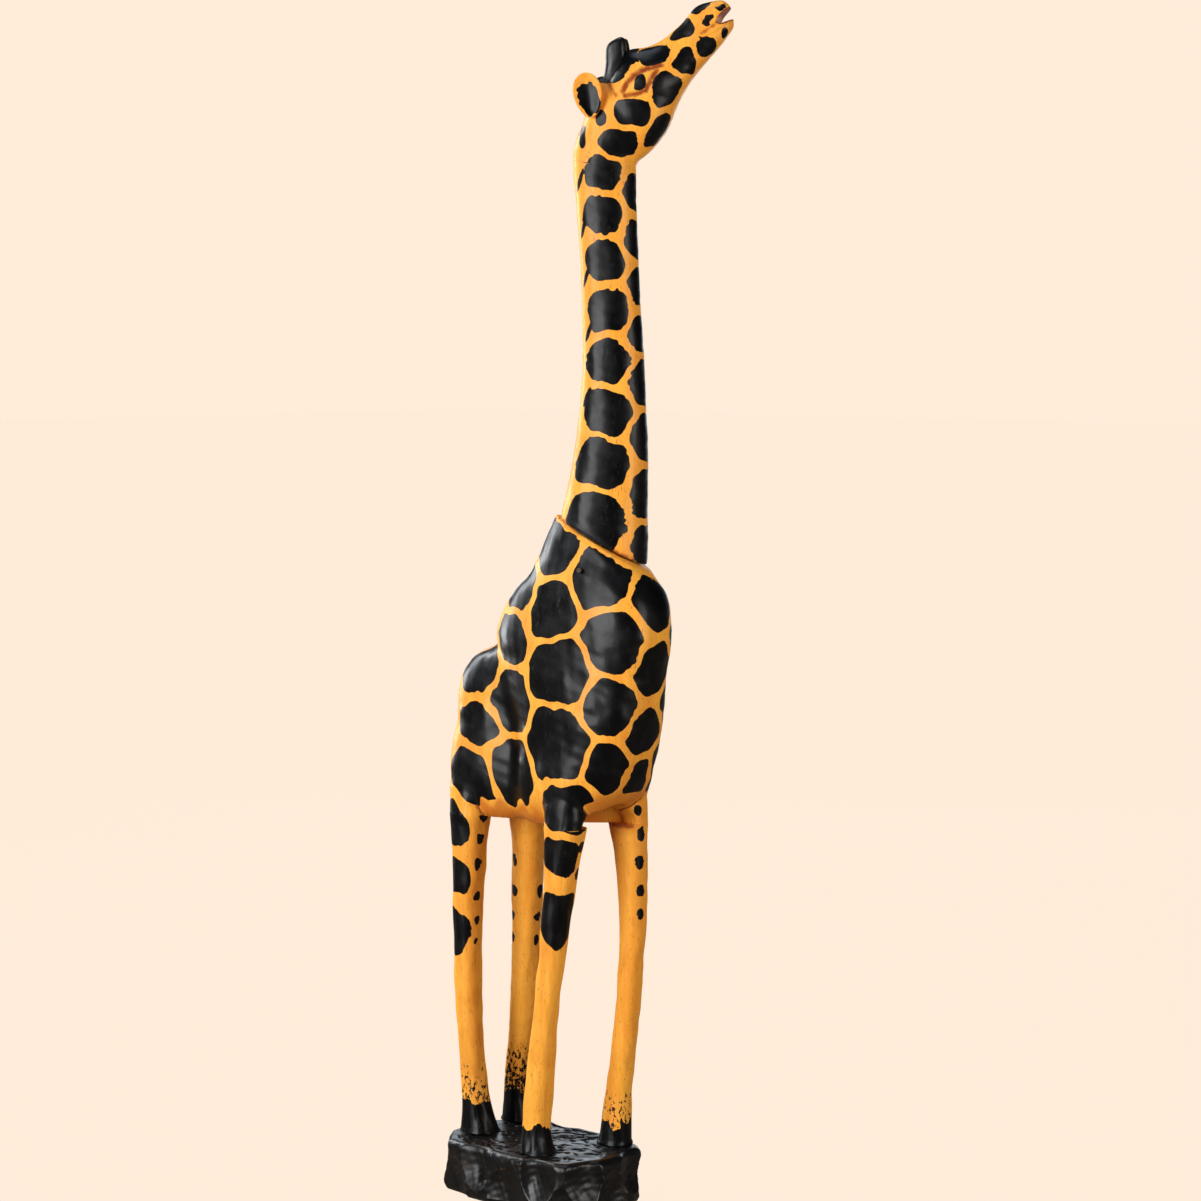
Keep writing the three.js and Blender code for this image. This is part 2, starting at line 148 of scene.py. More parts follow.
def loftField(loft, x, y, z):
    # how far a point lies outside the loft, measured level from its centre; negative inside
    centreX, centreY, halfX, halfY = levelOf(loft, z)
    across, along = x - centreX, y - centreY
    reach = np.hypot(across, along) + 1e-6
    n = loft["square"]
    share = (np.abs(across / halfX) ** n + np.abs(along / halfY) ** n) ** (1 / n)
    side = reach * (1 - 1 / np.maximum(share, 1e-4))
    table = loft["table"]
    return np.maximum(side, np.maximum(table[0, 0] - z, z - table[-1, 0]))


def toNeck(points):
    # statue frame to the neck's turned frame: forward, left, height
    x, y = points[:, 0] - statue["neckX"], points[:, 1] - statue["neckY"]
    return x * turnCos + y * turnSin, -x * turnSin + y * turnCos, points[:, 2]


def fromNeck(forward, left, height):
    # the neck's turned frame back to the statue's
    x = statue["neckX"] + forward * turnCos - left * turnSin
    y = statue["neckY"] + forward * turnSin + left * turnCos
    return np.stack([x, y, height + 0 * x], axis=-1)


def gridFaces(rows, columns):
    # quads of a grid that closes on itself sideways, with a fan to a pole at each end
    first = np.arange(rows - 1)[:, None] * columns
    col = np.arange(columns)[None, :]
    nxt = (col + 1) % columns
    quads = np.stack([first + col, first + nxt, first + columns + nxt, first + columns + col], axis=-1)
    quads = quads.reshape(-1, 4)
    low, high = rows * columns, rows * columns + 1
    ring = np.arange(columns)
    after = (ring + 1) % columns
    last = (rows - 1) * columns
    bottom = np.stack([after, ring, np.full(columns, low)], axis=-1)
    top = np.stack([last + ring, last + after, np.full(columns, high)], axis=-1)
    return quads.tolist() + bottom.tolist() + top.tolist()


def ringsToMesh(name, rings):
    # rings is rows x columns x 3 in millimetres, going up and round anticlockwise from above
    rows, columns, _ = rings.shape
    poles = np.stack([rings[0].mean(axis=0), rings[-1].mean(axis=0)])
    verts = np.concatenate([rings.reshape(-1, 3), poles]) * mm
    mesh = bpy.data.meshes.new(name)
    mesh.from_pydata(verts.tolist(), [], gridFaces(rows, columns))
    mesh.validate()
    return addPiece(name, mesh)


def addPiece(name, mesh):
    # a mesh as an object at the frame's origin
    piece = bpy.data.objects.new(name, mesh)
    scene.collection.objects.link(piece)
    return piece


def ovalAt(angle, n):
    # a point of the unit superellipse: the cosine and the sine, each over the n-th root of the sum
    # of both their n-th powers
    cos, sin = np.cos(angle), np.sin(angle)
    size = (np.abs(cos) ** n + np.abs(sin) ** n) ** (-1 / n)
    return size * cos, size * sin


def roundTurn(columns):
    # evenly spaced angles once round, as one row
    return np.linspace(0, 2 * np.pi, columns, endpoint=False)[None, :]


def loftRings(loft, low, high, rows, columns):
    # level rings of the loft between two heights: its centre plus the oval's point times half sizes
    z = np.linspace(low, high, rows)[:, None]
    centreX, centreY, halfX, halfY = levelOf(loft, z)
    ovalX, ovalY = ovalAt(roundTurn(columns), loft["square"])
    x = centreX + ovalX * halfX
    y = centreY + ovalY * halfY
    return np.stack([x, y, z + 0 * x], axis=-1)


def readRows(mesh, key):
    # one of the vertices' measures as rows of three
    flat = np.empty(len(mesh.vertices) * 3)
    mesh.vertices.foreach_get(key, flat)
    return flat.reshape(-1, 3)


def readVerts(mesh):
    # the vertices in millimetres: the stored metres over 0.001
    return readRows(mesh, "co") / mm


def readNormals(mesh):
    # the unit directions that the vertices face
    return readRows(mesh, "normal")


def writeVerts(mesh, points):
    # millimetres back into the mesh as metres
    mesh.vertices.foreach_set("co", (points * mm).ravel())
    mesh.update()


def paintAttribute(mesh, name, values):
    # one number for each vertex, for the materials to read
    layer = mesh.attributes.get(name) or mesh.attributes.new(name, "FLOAT", "POINT")
    layer.data.foreach_set("value", np.asarray(values, dtype=np.float32))


def paintLook(mesh, spotDepth, stain=0.0, paintedShade=0.0, spatter=0.0):
    # the painted wood's four measures: millimetres inside a spot, then shares from 0 to about 1 of stain,
    # painted shade and spatter
    flat = np.zeros(len(mesh.vertices))
    looks = {"spotDepth": spotDepth, "stain": stain, "paintedShade": paintedShade, "spatter": spatter}
    for name, values in looks.items():
        paintAttribute(mesh, name, values + flat)


def shadeSmooth(mesh):
    # smooth shading, with an edge kept sharp where its faces meet at more than this angle
    mesh.polygons.foreach_set("use_smooth", np.ones(len(mesh.polygons), dtype=bool))
    mesh.set_sharp_from_angle(angle=math.radians(sharpAngle))
    mesh.update()


def fixNormals(mesh):
    # turns every face of a closed mesh outward
    work = bmesh.new()
    work.from_mesh(mesh)
    bmesh.ops.recalc_face_normals(work, faces=work.faces[:])
    work.to_mesh(mesh)
    work.free()


def pullOnto(field, points, passes=5):
    # moves each point along the field's gradient until it lies on the surface field = 0
    step = 0.4
    for _ in range(passes):
        value = field(points)
        gradient = np.stack(
            [(field(points + step * axis) - value) / step for axis in np.eye(3)], axis=-1)
        length2 = np.maximum((gradient ** 2).sum(axis=1), 0.2)
        move = gradient * (value / length2)[:, None]
        far = np.linalg.norm(move, axis=1)
        points = points - move * np.minimum(1, 6 / np.maximum(far, 1e-6))[:, None]
    return points


def mergeShapes(name, shapes, voxel):
    # the overlapping closed shapes become one skin of small even quads
    bpy.ops.object.select_all(action="DESELECT")
    for shape in shapes:
        shape.select_set(True)
    bpy.context.view_layer.objects.active = shapes[0]
    bpy.ops.object.join()
    joined = shapes[0]
    remesh = joined.modifiers.new("skin", "REMESH")
    remesh.mode = "VOXEL"
    remesh.voxel_size = voxel * mm
    graph = bpy.context.evaluated_depsgraph_get()
    mesh = bpy.data.meshes.new_from_object(joined.evaluated_get(graph))
    mesh.name = name
    bpy.data.objects.remove(joined)
    return mesh


def cutFlat(mesh, point, normal):
    # takes away what lies past the plane and closes the cut with a flat face
    work = bmesh.new()
    work.from_mesh(mesh)
    found = bmesh.ops.bisect_plane(
        work, geom=work.verts[:] + work.edges[:] + work.faces[:], dist=1e-6,
        plane_co=Vector(point) * mm, plane_no=Vector(normal), clear_outer=True)
    rim = [edge for edge in found["geom_cut"] if isinstance(edge, bmesh.types.BMEdge)]
    rim = [edge for edge in rim if edge.is_boundary]
    made = bmesh.ops.edgeloop_fill(work, edges=rim)
    bmesh.ops.triangulate(work, faces=made["faces"])
    bmesh.ops.recalc_face_normals(work, faces=work.faces[:])
    work.to_mesh(mesh)
    work.free()
    mesh.update()


def spotDepth(points, spots, gap, rounding=0.3):
    # how far inside a painted spot each point lies, in millimetres, negative on the yellow.
    # A spot is [x, y, z, radius, squash] and may add [dx, dy, dz], half the line that it is drawn out
    # along. Its edge is the nearer of its own radius and the line halfway to its neighbours, less
    # half the gap, and the corners are rounded
    power, plain = [], []
    for x, y, z, radius, squash, *run in spots:
        away = points - np.array([x, y, z])
        if run:
            run = np.array(run)
            share = np.clip(away @ run / max(run @ run, 1e-9), -1, 1)
            away = away - share[:, None] * run
        away[:, 2] *= squash
        distance2 = (away ** 2).sum(axis=1)
        power.append(distance2 - radius ** 2)
        plain.append(np.sqrt(distance2))
    power, plain = np.array(power), np.array(plain)
    places = np.array([spot[:4] for spot in spots], dtype=float)
    order = np.argpartition(power, 3, axis=0)[:4]
    near = np.take_along_axis(power, order, axis=0)
    rank = np.argsort(near, axis=0)
    order = np.take_along_axis(order, rank, axis=0)
    near = np.take_along_axis(near, rank, axis=0)
    home = places[order[0]]
    total = np.zeros(len(points))
    for k in range(1, 4):
        apart = np.linalg.norm(places[order[k]][:, :3] - home[:, :3], axis=1)
        border = (near[k] - near[0]) / (2 * np.maximum(apart, 1e-3)) - gap / 2
        total += np.exp(-rounding * np.clip(border, -60, 60))
    own = home[:, 3] - np.take_along_axis(plain, order[:1], axis=0)[0]
    total += np.exp(-rounding * np.clip(own, -60, 60))
    return -np.log(total) / rounding


def handPainted(points, seed, slow=2.4, quick=0.9, reach=36):
    # moves the points a little, so that the edges of spots painted on them wander; the quick part
    # comes and goes, so that smooth stretches and notches alternate
    here = np.clip(wobble(points, 1.6 * reach, seed + 7) + 0.3, 0, 1.2)
    move = []
    for k in range(3):
        fast = here * wobble(points, 0.36 * reach, seed + 3 + k)
        move.append(slow * wobble(points, reach, seed + k) + quick * fast)
    return points + np.stack(move, axis=-1)


def castOut(field, start, heading, farthest=190.0, steps=190):
    # the outermost place where a ray from start leaves the solid
    along = np.linspace(0, farthest, steps)
    start, heading = np.array(start, float), np.array(heading, float)
    inside = field(start + along[:, None] * heading) < 0
    last = np.nonzero(inside)[0].max() if inside.any() else 0
    return start + along[last] * heading


print("shapes: lofts")

# carving: legs, body, neck and head as fields

# [share of the leg's height, centreX, centreY, halfX, halfY] from the foot up
legRows = {
    "rear_right_leg": [
        [0, -98, -18, 25, 22], [0.08, -102, -20, 19, 18], [0.18, -104, -23, 16, 15],
        [0.36, -107, -27, 17, 16], [0.58, -107, -30, 18, 17], [0.86, -102, -32, 21, 20],
        [1, -99, -32, 26, 24]],
    "rear_left_leg": [
        [0, -102, 56, 22, 20], [0.08, -105, 56, 17, 16], [0.18, -103, 55, 15, 15],
        [0.33, -92, 54, 16, 16], [0.58, -84, 52, 18, 17], [0.86, -76, 48, 22, 19],
        [1, -72, 46, 28, 22]],
    "front_right_leg": [
        [0, 32, -45, 22, 21], [0.07, 28, -45, 18, 18], [0.24, 35, -44, 17, 17],
        [0.42, 44, -44, 15, 15], [0.62, 54, -42, 17, 16], [0.83, 65, -40, 21, 19],
        [1, 73, -39, 27, 23]],
    "front_left_leg": [
        [0, 70, 54, 22, 20], [0.14, 76, 54, 17, 16], [0.26, 84, 53, 16, 15],
        [0.5, 98, 51, 15, 15], [0.7, 104, 50, 17, 16], [0.87, 103, 49, 20, 18],
        [1, 99, 47, 25, 21]],
}
legHeight = seatZ - blockTop
legLofts = {
    name: makeLoft([[blockTop + row[0] * legHeight] + row[1:] for row in rows], 2.4)
    for name, rows in legRows.items()}


def haunchLoft(row):
    # the top of a leg goes on up inside the body and fades into the flank
    _, x, y, halfX, halfY = row
    inward = 1 if statue["bodyY"] > y else -1
    return makeLoft([
        [seatZ - 4, x, y, halfX, halfY],
        [seatZ + 45, x, y + inward * 4, halfX, halfY],
        [seatZ + 100, x, y + inward * 16, halfX - 6, halfY - 6],
        [seatZ + 118, x, y + inward * 22, 4, 4]], 2.4)


haunches = [haunchLoft(rows[-1]) for rows in legRows.values()]


def bodyLoft(rows, squareness):
    # heights above the seat and shares of the half width made into a loft in the frame
    half = statue["bodyWidth"] / 2
    return makeLoft(
        [[seatZ + up, x, statue["bodyY"], halfX, wide * half] for up, x, halfX, wide in rows],
        squareness)


# [above the seat, centreX, halfX, share of the half width]
barrel = bodyLoft([
    [-4, 28, 44, 0.55], [14, 38, 68, 0.82], [50, 54, 86, 0.97], [120, 67, 96, 1],
    [185, 60, 114, 0.98], [235, 58, 126, 0.95], [280, 68, 112, 0.88], [318, 76, 82, 0.74],
    [385, 72, 48, 0.44]], 2.6)
rump = bodyLoft([
    [-6, -66, 40, 0.55], [14, -70, 56, 0.8], [60, -72, 62, 0.9], [120, -72, 61, 0.9],
    [172, -70, 57, 0.84], [202, -60, 46, 0.64], [216, -48, 24, 0.32], [221, -42, 4, 0.05]], 2.5)


# the two hollows under the belly: half length, half width, depth, and how steep and soft they are;
# the chest's y is measured from the body's middle
belly = {
    "chest": {"x": 115, "y": -4, "long": 75, "wide": 34, "deep": 28, "steep": 26, "soft": 5},
    "between": {"x": 85, "y": 15, "long": 112, "wide": 27, "deep": 23, "steep": 22, "soft": 4},
    "heading": (-0.68, 0.73),
}


def rawBody(points):
    # barrel and rump joined to the legs' tops by softMin, less the two hollows by softMax, each
    # hollow being 1 less the point's distance in half sizes, times its steepness
    x, y, z = points[:, 0], points[:, 1], points[:, 2]
    solid = softMin(loftField(barrel, x, y, z), loftField(rump, x, y, z), 26)
    fillet = 0.8 + 26 * smoothStep(seatZ + 4, seatZ + 80, z)
    for haunch in haunches:
        solid = softMin(solid, loftField(haunch, x, y, z), fillet)
    # the hollow scooped under the chest, between the front legs
    chest, between = belly["chest"], belly["between"]
    along, across = x - chest["x"], y - statue["bodyY"] - chest["y"]
    away = np.sqrt((along / chest["long"]) ** 2 + (across / chest["wide"]) ** 2
                   + ((z - seatZ) / chest["deep"]) ** 2)
    solid = softMax(solid, (1 - away) * chest["steep"], chest["soft"])
    # and the shallower one that runs back from it between the left legs
    headX, headY = belly["heading"]
    along = (y - between["y"]) * headY + (x - between["x"]) * headX
    across = (x - between["x"]) * headY - (y - between["y"]) * headX
    away = np.sqrt((along / between["long"]) ** 2 + (across / between["wide"]) ** 2
                   + ((z - seatZ) / between["deep"]) ** 2)
    return softMax(solid, (1 - away) * between["steep"], between["soft"])


def aboveCollar(forward, z):
    # how far a point lies above the sloping collar, square to it
    return (forward * slope + (z - collarZ)) / math.hypot(slope, 1)


def bodyField(points):
    # the raw body below the collar, its lip rounder at the front
    forward, _, z = toNeck(points)
    collar = aboveCollar(forward, z)
    lip = 7 + 9 * smoothStep(40, 80, forward)
    return softMax(rawBody(points), collar, lip)


# [share of the neck's length, forward, halfDepth, halfWidth]
neckRows = [
    [-0.16, -4, 60, 43], [-0.02, 1.5, 56.5, 41], [0.08, 5.5, 52.7, 38.5], [0.18, 10.8, 48, 35.5],
    [0.3, 14.6, 43, 32], [0.42, 16, 39.4, 30], [0.56, 14.8, 36.5, 27.5], [0.72, 11.3, 35.5, 26.5],
    [0.86, 8, 36.2, 27], [1, 5, 38.3, 28], [1.1, 7, 37, 30]]
neckLoft = makeLoft(
    [[collarZ + row[0] * statue["neckLength"], row[1], 0, row[2], row[3]] for row in neckRows], 2.2)

# [share of the head's length, offset towards the crown, halfDepth, halfWidth]
faceRows = [
    [-0.2, -30, 14, 14], [-0.1, -21, 37, 27], [0.02, -14, 46, 33], [0.12, -9.5, 47.5, 36],
    [0.22, -4.5, 48, 36], [0.34, 3.2, 44.8, 34], [0.5, 0, 31.5, 27], [0.7, 1.5, 27, 21.5],
    [0.87, 4.8, 26.2, 20.5], [0.96, 3.8, 21.3, 17], [1, 5, 16, 12.5], [1.03, 7, 9.5, 8],
    [1.042, 7.5, 3, 3]]
faceLoft = makeLoft(
    [[row[0] * statue["headLength"], -row[1], 0, row[2], row[3]] for row in faceRows], 2.3)
# the nape and the back of the skull: [above the seam, forward, halfDepth, halfWidth]
napeRows = [
    [-40, 5.4, 38.2, 28], [0, 5, 38.3, 28.5], [18, 5.5, 38.3, 30], [36, 8.5, 36.8, 31.5],
    [48, 11, 33, 32], [64, 13, 28.5, 31], [80, 14, 23, 28], [93, 15, 16, 21],
    [101, 15.5, 8, 11], [103, 15.5, 2, 3]]
napeLoft = makeLoft([[seamZ + up, forward, 0, deep, wide] for up, forward, deep, wide in napeRows], 2.15)
skull = {"forward": 20.0, "up": 62.0}
pitchCos = math.cos(math.radians(statue["headPitch"]))
pitchSin = math.sin(math.radians(statue["headPitch"]))


def toFace(points):
    # along the face from the back of the skull, towards the crown, and left
    forward, left, z = toNeck(points)
    f, h = forward - skull["forward"], z - seamZ - skull["up"]
    return f * pitchCos + h * pitchSin, -f * pitchSin + h * pitchCos, left


def ball(points, forward, left, up, sizeF, sizeL, sizeU):
    # a rounded lump in the neck's frame, as a rough distance
    f, l, z = toNeck(points)
    away = np.sqrt(((f - forward) / sizeF) ** 2 + ((l - left) / sizeL) ** 2
                   + ((z - seamZ - up) / sizeU) ** 2) + 1e-6
    return (away - 1) * min(sizeF, sizeL, sizeU)


# [forward, left, above the seam, half sizes forward, left and up, fillet]: the skull, then each
# side's brow and nostril wing, then the back of the poll
headLumps = [
    [16, 0, 46, 32, 34, 46, 12], [57, -27, 99, 22, 10, 15, 8], [141, -9, 180, 12, 8, 9, 6],
    [57, 27, 99, 22, 10, 15, 8], [141, 9, 180, 12, 8, 9, 6], [4, 0, 97, 14, 22, 12, 6]]


def headField(points):
    # face, lumps and nape, joined one after another by softMin
    forward, left, z = toNeck(points)
    nape = loftField(napeLoft, forward, left, z)
    along, crown, side = toFace(points)
    solid = loftField(faceLoft, -crown, side, along)
    for *lump, fillet in headLumps:
        solid = softMin(solid, ball(points, *lump), fillet)
    return softMin(solid, nape, 9)


print("shapes: body")
bodyParts = []
for loft, rows, columns in [(barrel, 60, 96), (rump, 40, 96), *[(haunch, 24, 48) for haunch in haunches]]:
    rings = loftRings(loft, seatZ - 3, loft["table"][-1, 0], rows, columns)
    bodyParts.append(ringsToMesh("bodyCore", rings))
bodyMesh = mergeShapes("carvedBody", bodyParts, 2.2)
collarNormal = Vector((slope * turnCos, slope * turnSin, 1)).normalized()
cutFlat(bodyMesh, (statue["neckX"], statue["neckY"], collarZ), collarNormal)
bodyPoints = pullOnto(bodyField, readVerts(bodyMesh))
writeVerts(bodyMesh, bodyPoints)
cutFlat(bodyMesh, (0, 0, seatZ), (0, 0, -1))
shadeSmooth(bodyMesh)
body = addPiece("carvedBody", bodyMesh)
print("body vertices", len(bodyMesh.vertices))

# [angle round the body's middle, height above the seat, radius]; 0 is forward, -90 the right side
flankSpots = [
    [-53, 343, 46], [-23, 308, 50], [-111, 292, 42], [-56, 268, 50], [-115, 230, 42],
    [-20, 237, 50], [-48, 193, 57], [-150, 186, 42], [-121, 149, 50], [-21, 155, 46],
    [-144, 116, 42], [-50, 110, 58], [-122, 68, 52], [-147, 55, 44], [-20, 84, 40],
    [-44, 30, 42]]
middleSpots = [
    [-1, 281, 44], [-1, 201, 42], [-2, 124, 40], [3, 65, 34],
    [180, 150, 40], [178, 85, 38], [180, 30, 34], [180, 214, 34], [176, 262, 36], [178, 318, 34]]


# [x, y, height above the seat, radius, squash] of the big spots that run on down the legs
thighSpots = [
    [80, -58, -33, 27, 0.66], [73, -54, -104, 26, 0.55], [-108, -53, -14, 25, 0.78],
    [-110, -51, -80, 25, 0.76], [-114, -47, -145, 25, 0.72], [124, 41, 22, 8, 0.8],
    [100, 68, -36, 20, 0.62], [102, 68, -105, 19, 0.56], [-84, 68, -24, 22, 0.75],
    [-94, 70, -92, 21, 0.62]]
coatPaint = {
    "gap": 8.6, "seed": 11,          # width of the yellow lines, seed of the hand's wandering
    "brushUp": 21.0,                 # how far above the seat the paint stops under the belly
    "collarEdge": 6.0,               # yellow band below the collar
    "turnOver": 2.0, "stepUp": 9, "stepDown": 6,   # how the left flank's spots differ from the right's
}


def bodySpots():
    # the flank's spots on both sides, the left ones shifted a little, and the middle ones
    places = middleSpots + flankSpots
    for k, (angle, up, size) in enumerate(flankSpots):
        shift = coatPaint["stepUp"] if k % 2 else -coatPaint["stepDown"]
        places.append([-angle + coatPaint["turnOver"], up + shift, size])
    found = []
    for angle, up, size in places:
        turn = math.radians(angle)
        heading = (math.cos(turn), math.sin(turn), 0)
        spot = castOut(bodyField, (20, statue["bodyY"], seatZ + up), heading)
        found.append([*spot, size, 1.0])
    return found + [[x, y, seatZ + up, size, squash] for x, y, up, size, squash in thighSpots]


coatSpots = bodySpots()


def coatDepth(points):
    # how far inside the body's spots, which run on down the legs
    return spotDepth(handPainted(points, coatPaint["seed"]), coatSpots, coatPaint["gap"])


def dressBody():
    # a slightly uneven surface with tool marks under the collar and belly; stain in the creases,
    # browner wood underneath as painted shade, and the spots' depth, stopped short of belly and collar
    mesh = bodyMesh
    points, normals = readVerts(mesh), readNormals(mesh)
    fade = smoothStep(seatZ + 1, seatZ + 16, points[:, 2])
    uneven = 0.55 * wobble(points, 46, 3) + 0.22 * wobble(points, 17, 4)
    points = points + normals * (uneven * fade)[:, None]
    forward, _, z = toNeck(points)
    collar = aboveCollar(forward, z)
    striations = np.sin(np.arctan2(points[:, 1] - 12, points[:, 0] - 85) * 46 + wobble(points, 30, 8))
    onLip = smoothStep(-9, -2, collar) * (1 - smoothStep(20, 70, forward))
    points = points - normals * (0.35 * onLip * (1 + striations))[:, None]
    writeVerts(mesh, points)
    depth = coatDepth(points)
    x, y, height = points[:, 0], points[:, 1], points[:, 2]
    legFields = [loftField(haunch, x, y, height) for haunch in haunches]
    trunk = softMin(loftField(barrel, x, y, height), loftField(rump, x, y, height), 26)
    fields = np.sort(np.array(legFields + [trunk]), axis=0)
    nearLeg = np.min(legFields, axis=0)
    crease = np.exp(-((fields[1] - fields[0]) / 3.0) ** 2) * (1 - smoothStep(seatZ + 25, seatZ + 50, z))
    offLeg = smoothStep(1.5, 7, nearLeg)
    # painted shade: browner wood on faces turned down low on the body and along the belly's foot, away from
    # the legs
    under = offLeg * np.maximum(
        smoothStep(0.1, 0.6, -normals[:, 2]) * (1 - smoothStep(seatZ + 30, seatZ + 70, z)),
        1 - smoothStep(seatZ + 12, seatZ + 30, z + 5 * wobble(points, 24, 15)))
    chisel = np.sin(x * 0.55 + 2.5 * wobble(points, 30, 16)) * (1 - smoothStep(seatZ, seatZ + 34, z))
    writeVerts(mesh, points + normals * (0.22 * chisel)[:, None])
    brushLine = z - seatZ - coatPaint["brushUp"] - 5 * wobble(points, 48, 15) - 1.2 * wobble(points, 14, 5)
    depth = np.minimum(depth, brushLine + 60 * (1 - smoothStep(1.5, 5, nearLeg)))
    depth = np.minimum(depth, 14 - 34 * smoothStep(0.35, 0.75, -normals[:, 2]))
    depth = np.minimum(depth, -coatPaint["collarEdge"] - collar + 1.5 * wobble(points, 16, 14))
    ledge = smoothStep(-1.2, -0.2, collar)
    paintLook(mesh, depth, np.clip(crease + 0.85 * ledge, 0, 1), under)


dressBody()

print("shapes: neck")


def neckRings(rows=430, columns=132):
    # rings tilt from the collar's slope at the foot to the seam's slope under the jaw
    up = np.linspace(0, 1, rows)[:, None]
    tilt = slope + (seamSlope - slope) * smoothStep(0.0, 1.0, up)
    level = collarZ + joinGap + up * (seamZ - collarZ - joinGap * 1.5)
    ovalX, ovalY = ovalAt(roundTurn(columns), neckLoft["square"])
    forward = 0 * ovalX * up
    for _ in range(6):
        z = level - tilt * forward
        centre, _, halfX, halfY = levelOf(neckLoft, z)
        forward = centre + ovalX * halfX
        left = ovalY * halfY
    return fromNeck(forward, left, level - tilt * forward)


neck = ringsToMesh("carvedNeck", neckRings())
neckMesh = neck.data
neckPoints = readVerts(neckMesh)
top = neckPoints[:, 2] > seamZ - 36
joined = smoothStep(seamZ - 34, seamZ - 6, neckPoints[top, 2])[:, None]
neckPoints[top] += joined * (pullOnto(headField, neckPoints[top], 3) - neckPoints[top])
writeVerts(neckMesh, neckPoints)
seamSin, seamCos = math.sin(math.radians(statue["seamTilt"])), math.cos(math.radians(statue["seamTilt"]))
seamNormal = Vector((seamSin * turnCos, seamSin * turnSin, seamCos))
cutFlat(neckMesh, (statue["neckX"], statue["neckY"], seamZ - joinGap / 2), seamNormal)
shadeSmooth(neckMesh)


def neckPlace(angle, up):
    # the neck's surface at an angle from its front, negative on the right, and a height above the collar
    centre, _, halfX, halfY = levelOf(neckLoft, collarZ + up)
    ovalX, ovalY = ovalAt(math.radians(angle), neckLoft["square"])
    return fromNeck(np.array(centre + ovalX * halfX), np.array(ovalY * halfY), collarZ + up)


# [height above the collar, angle from the front, radius] of the big spots down each side and the throat
sideSpots = [
    [446, 84, 23], [394, 90, 24.5], [340, 88, 26], [279, 88, 27], [217, 88, 29], [157, 90, 31],
    [93, 93, 34.5], [25, 94, 39]]
throatSpots = [[423, 23], [365, 24], [312, 22], [249, 24], [194, 29], [124, 28], [56, 31], [-2, 27]]
maneStrokes = [[437, 14], [380, 13], [321, 15], [253, 13], [175, 12], [105, 13]]
neckPaint = {
    "sideGrow": 1.5, "throatGrow": 3.0, "squash": 0.92,   # added to the radii, flattening of every spot
    "leftDown": 22, "leftLowest": 18,                     # how far the left side's spots sit lower
    "gap": 6.4, "gapLess": 2.3,                           # yellow lines on the neck, less on the head
}


def neckSpots():
    # the side spots on the right, the same lower down on the left, and the throat's row
    squash = neckPaint["squash"]
    found = []
    for up, angle, size in sideSpots:
        size = size + neckPaint["sideGrow"]
        found.append([*neckPlace(-angle, up), size, squash])
        lower = max(up - neckPaint["leftDown"], neckPaint["leftLowest"])
        found.append([*neckPlace(angle, lower), size, squash])
    for up, size in throatSpots:
        found.append([*neckPlace(-2, up), size + neckPaint["throatGrow"], squash])
    return found


# [forward, height above the seam, radius, drawn out forward, drawn out up] on both sides of the head
headSpots = [
    [126, 188, 10, 8, 5], [149.5, 184, 8.8, 4, 1.5], [135.5, 172.5, 9.5, 3, 1], [105.5, 159, 14.5, 6, 5],
    [153.5, 155.5, 8, 1, 3], [132.8, 140.3, 13.5, 6, 1], [107.6, 124, 18.5, 1, 3], [75.5, 131, 15.5, 8, 2],
    [86, 88, 20.5, 1, 7], [48.5, 61.5, 18.5, 9, 0], [29.5, 25.5, 21.5, 7, 1], [75.5, 41, 18.5, 7, 10],
    [55, 8, 10, 5, 6], [9.5, 55, 8.5, 0, 4], [58, 97, 6.6, 0, 3.4], [-17, 37, 8, 0, 7],
    [98, 78, 7, 2, 4]]
# black over the poll, above a line in the head's side view: [forward, height above the seam]
pollLine = [[18, 97], [41, 116], [50, 134]]


def sideOfHead(forward, up, sign):
    # the place on the head's side found by going out sideways from its middle
    start = fromNeck(np.array(float(forward)), np.array(0.0), seamZ + up)
    heading = fromNeck(np.array(float(forward)), np.array(float(sign)), seamZ + up) - start
    return castOut(headField, start, heading, 60, 121)


def headSpotPlaces():
    # both sides' spots, each drawn out along its run
    found = []
    for forward, up, size, runForward, runUp in headSpots:
        for sign in (-1, 1):
            run = [runForward * turnCos + 0.01, runForward * turnSin, runUp]
            found.append([*sideOfHead(forward, up, sign), size, 1.0, *run])
    return found


def spotGap(z):
    # the yellow lines are narrower on the head than on the neck
    return neckPaint["gap"] - neckPaint["gapLess"] * smoothStep(seamZ - 20, seamZ + 50, z)


def neckCoat(points, z):
    # how far inside the spots that neck and head share
    moved = handPainted(points, 21, 1.9, 1.2, 26)
    return spotDepth(moved, neckSpots() + headSpotPlaces(), spotGap(z), 0.38)


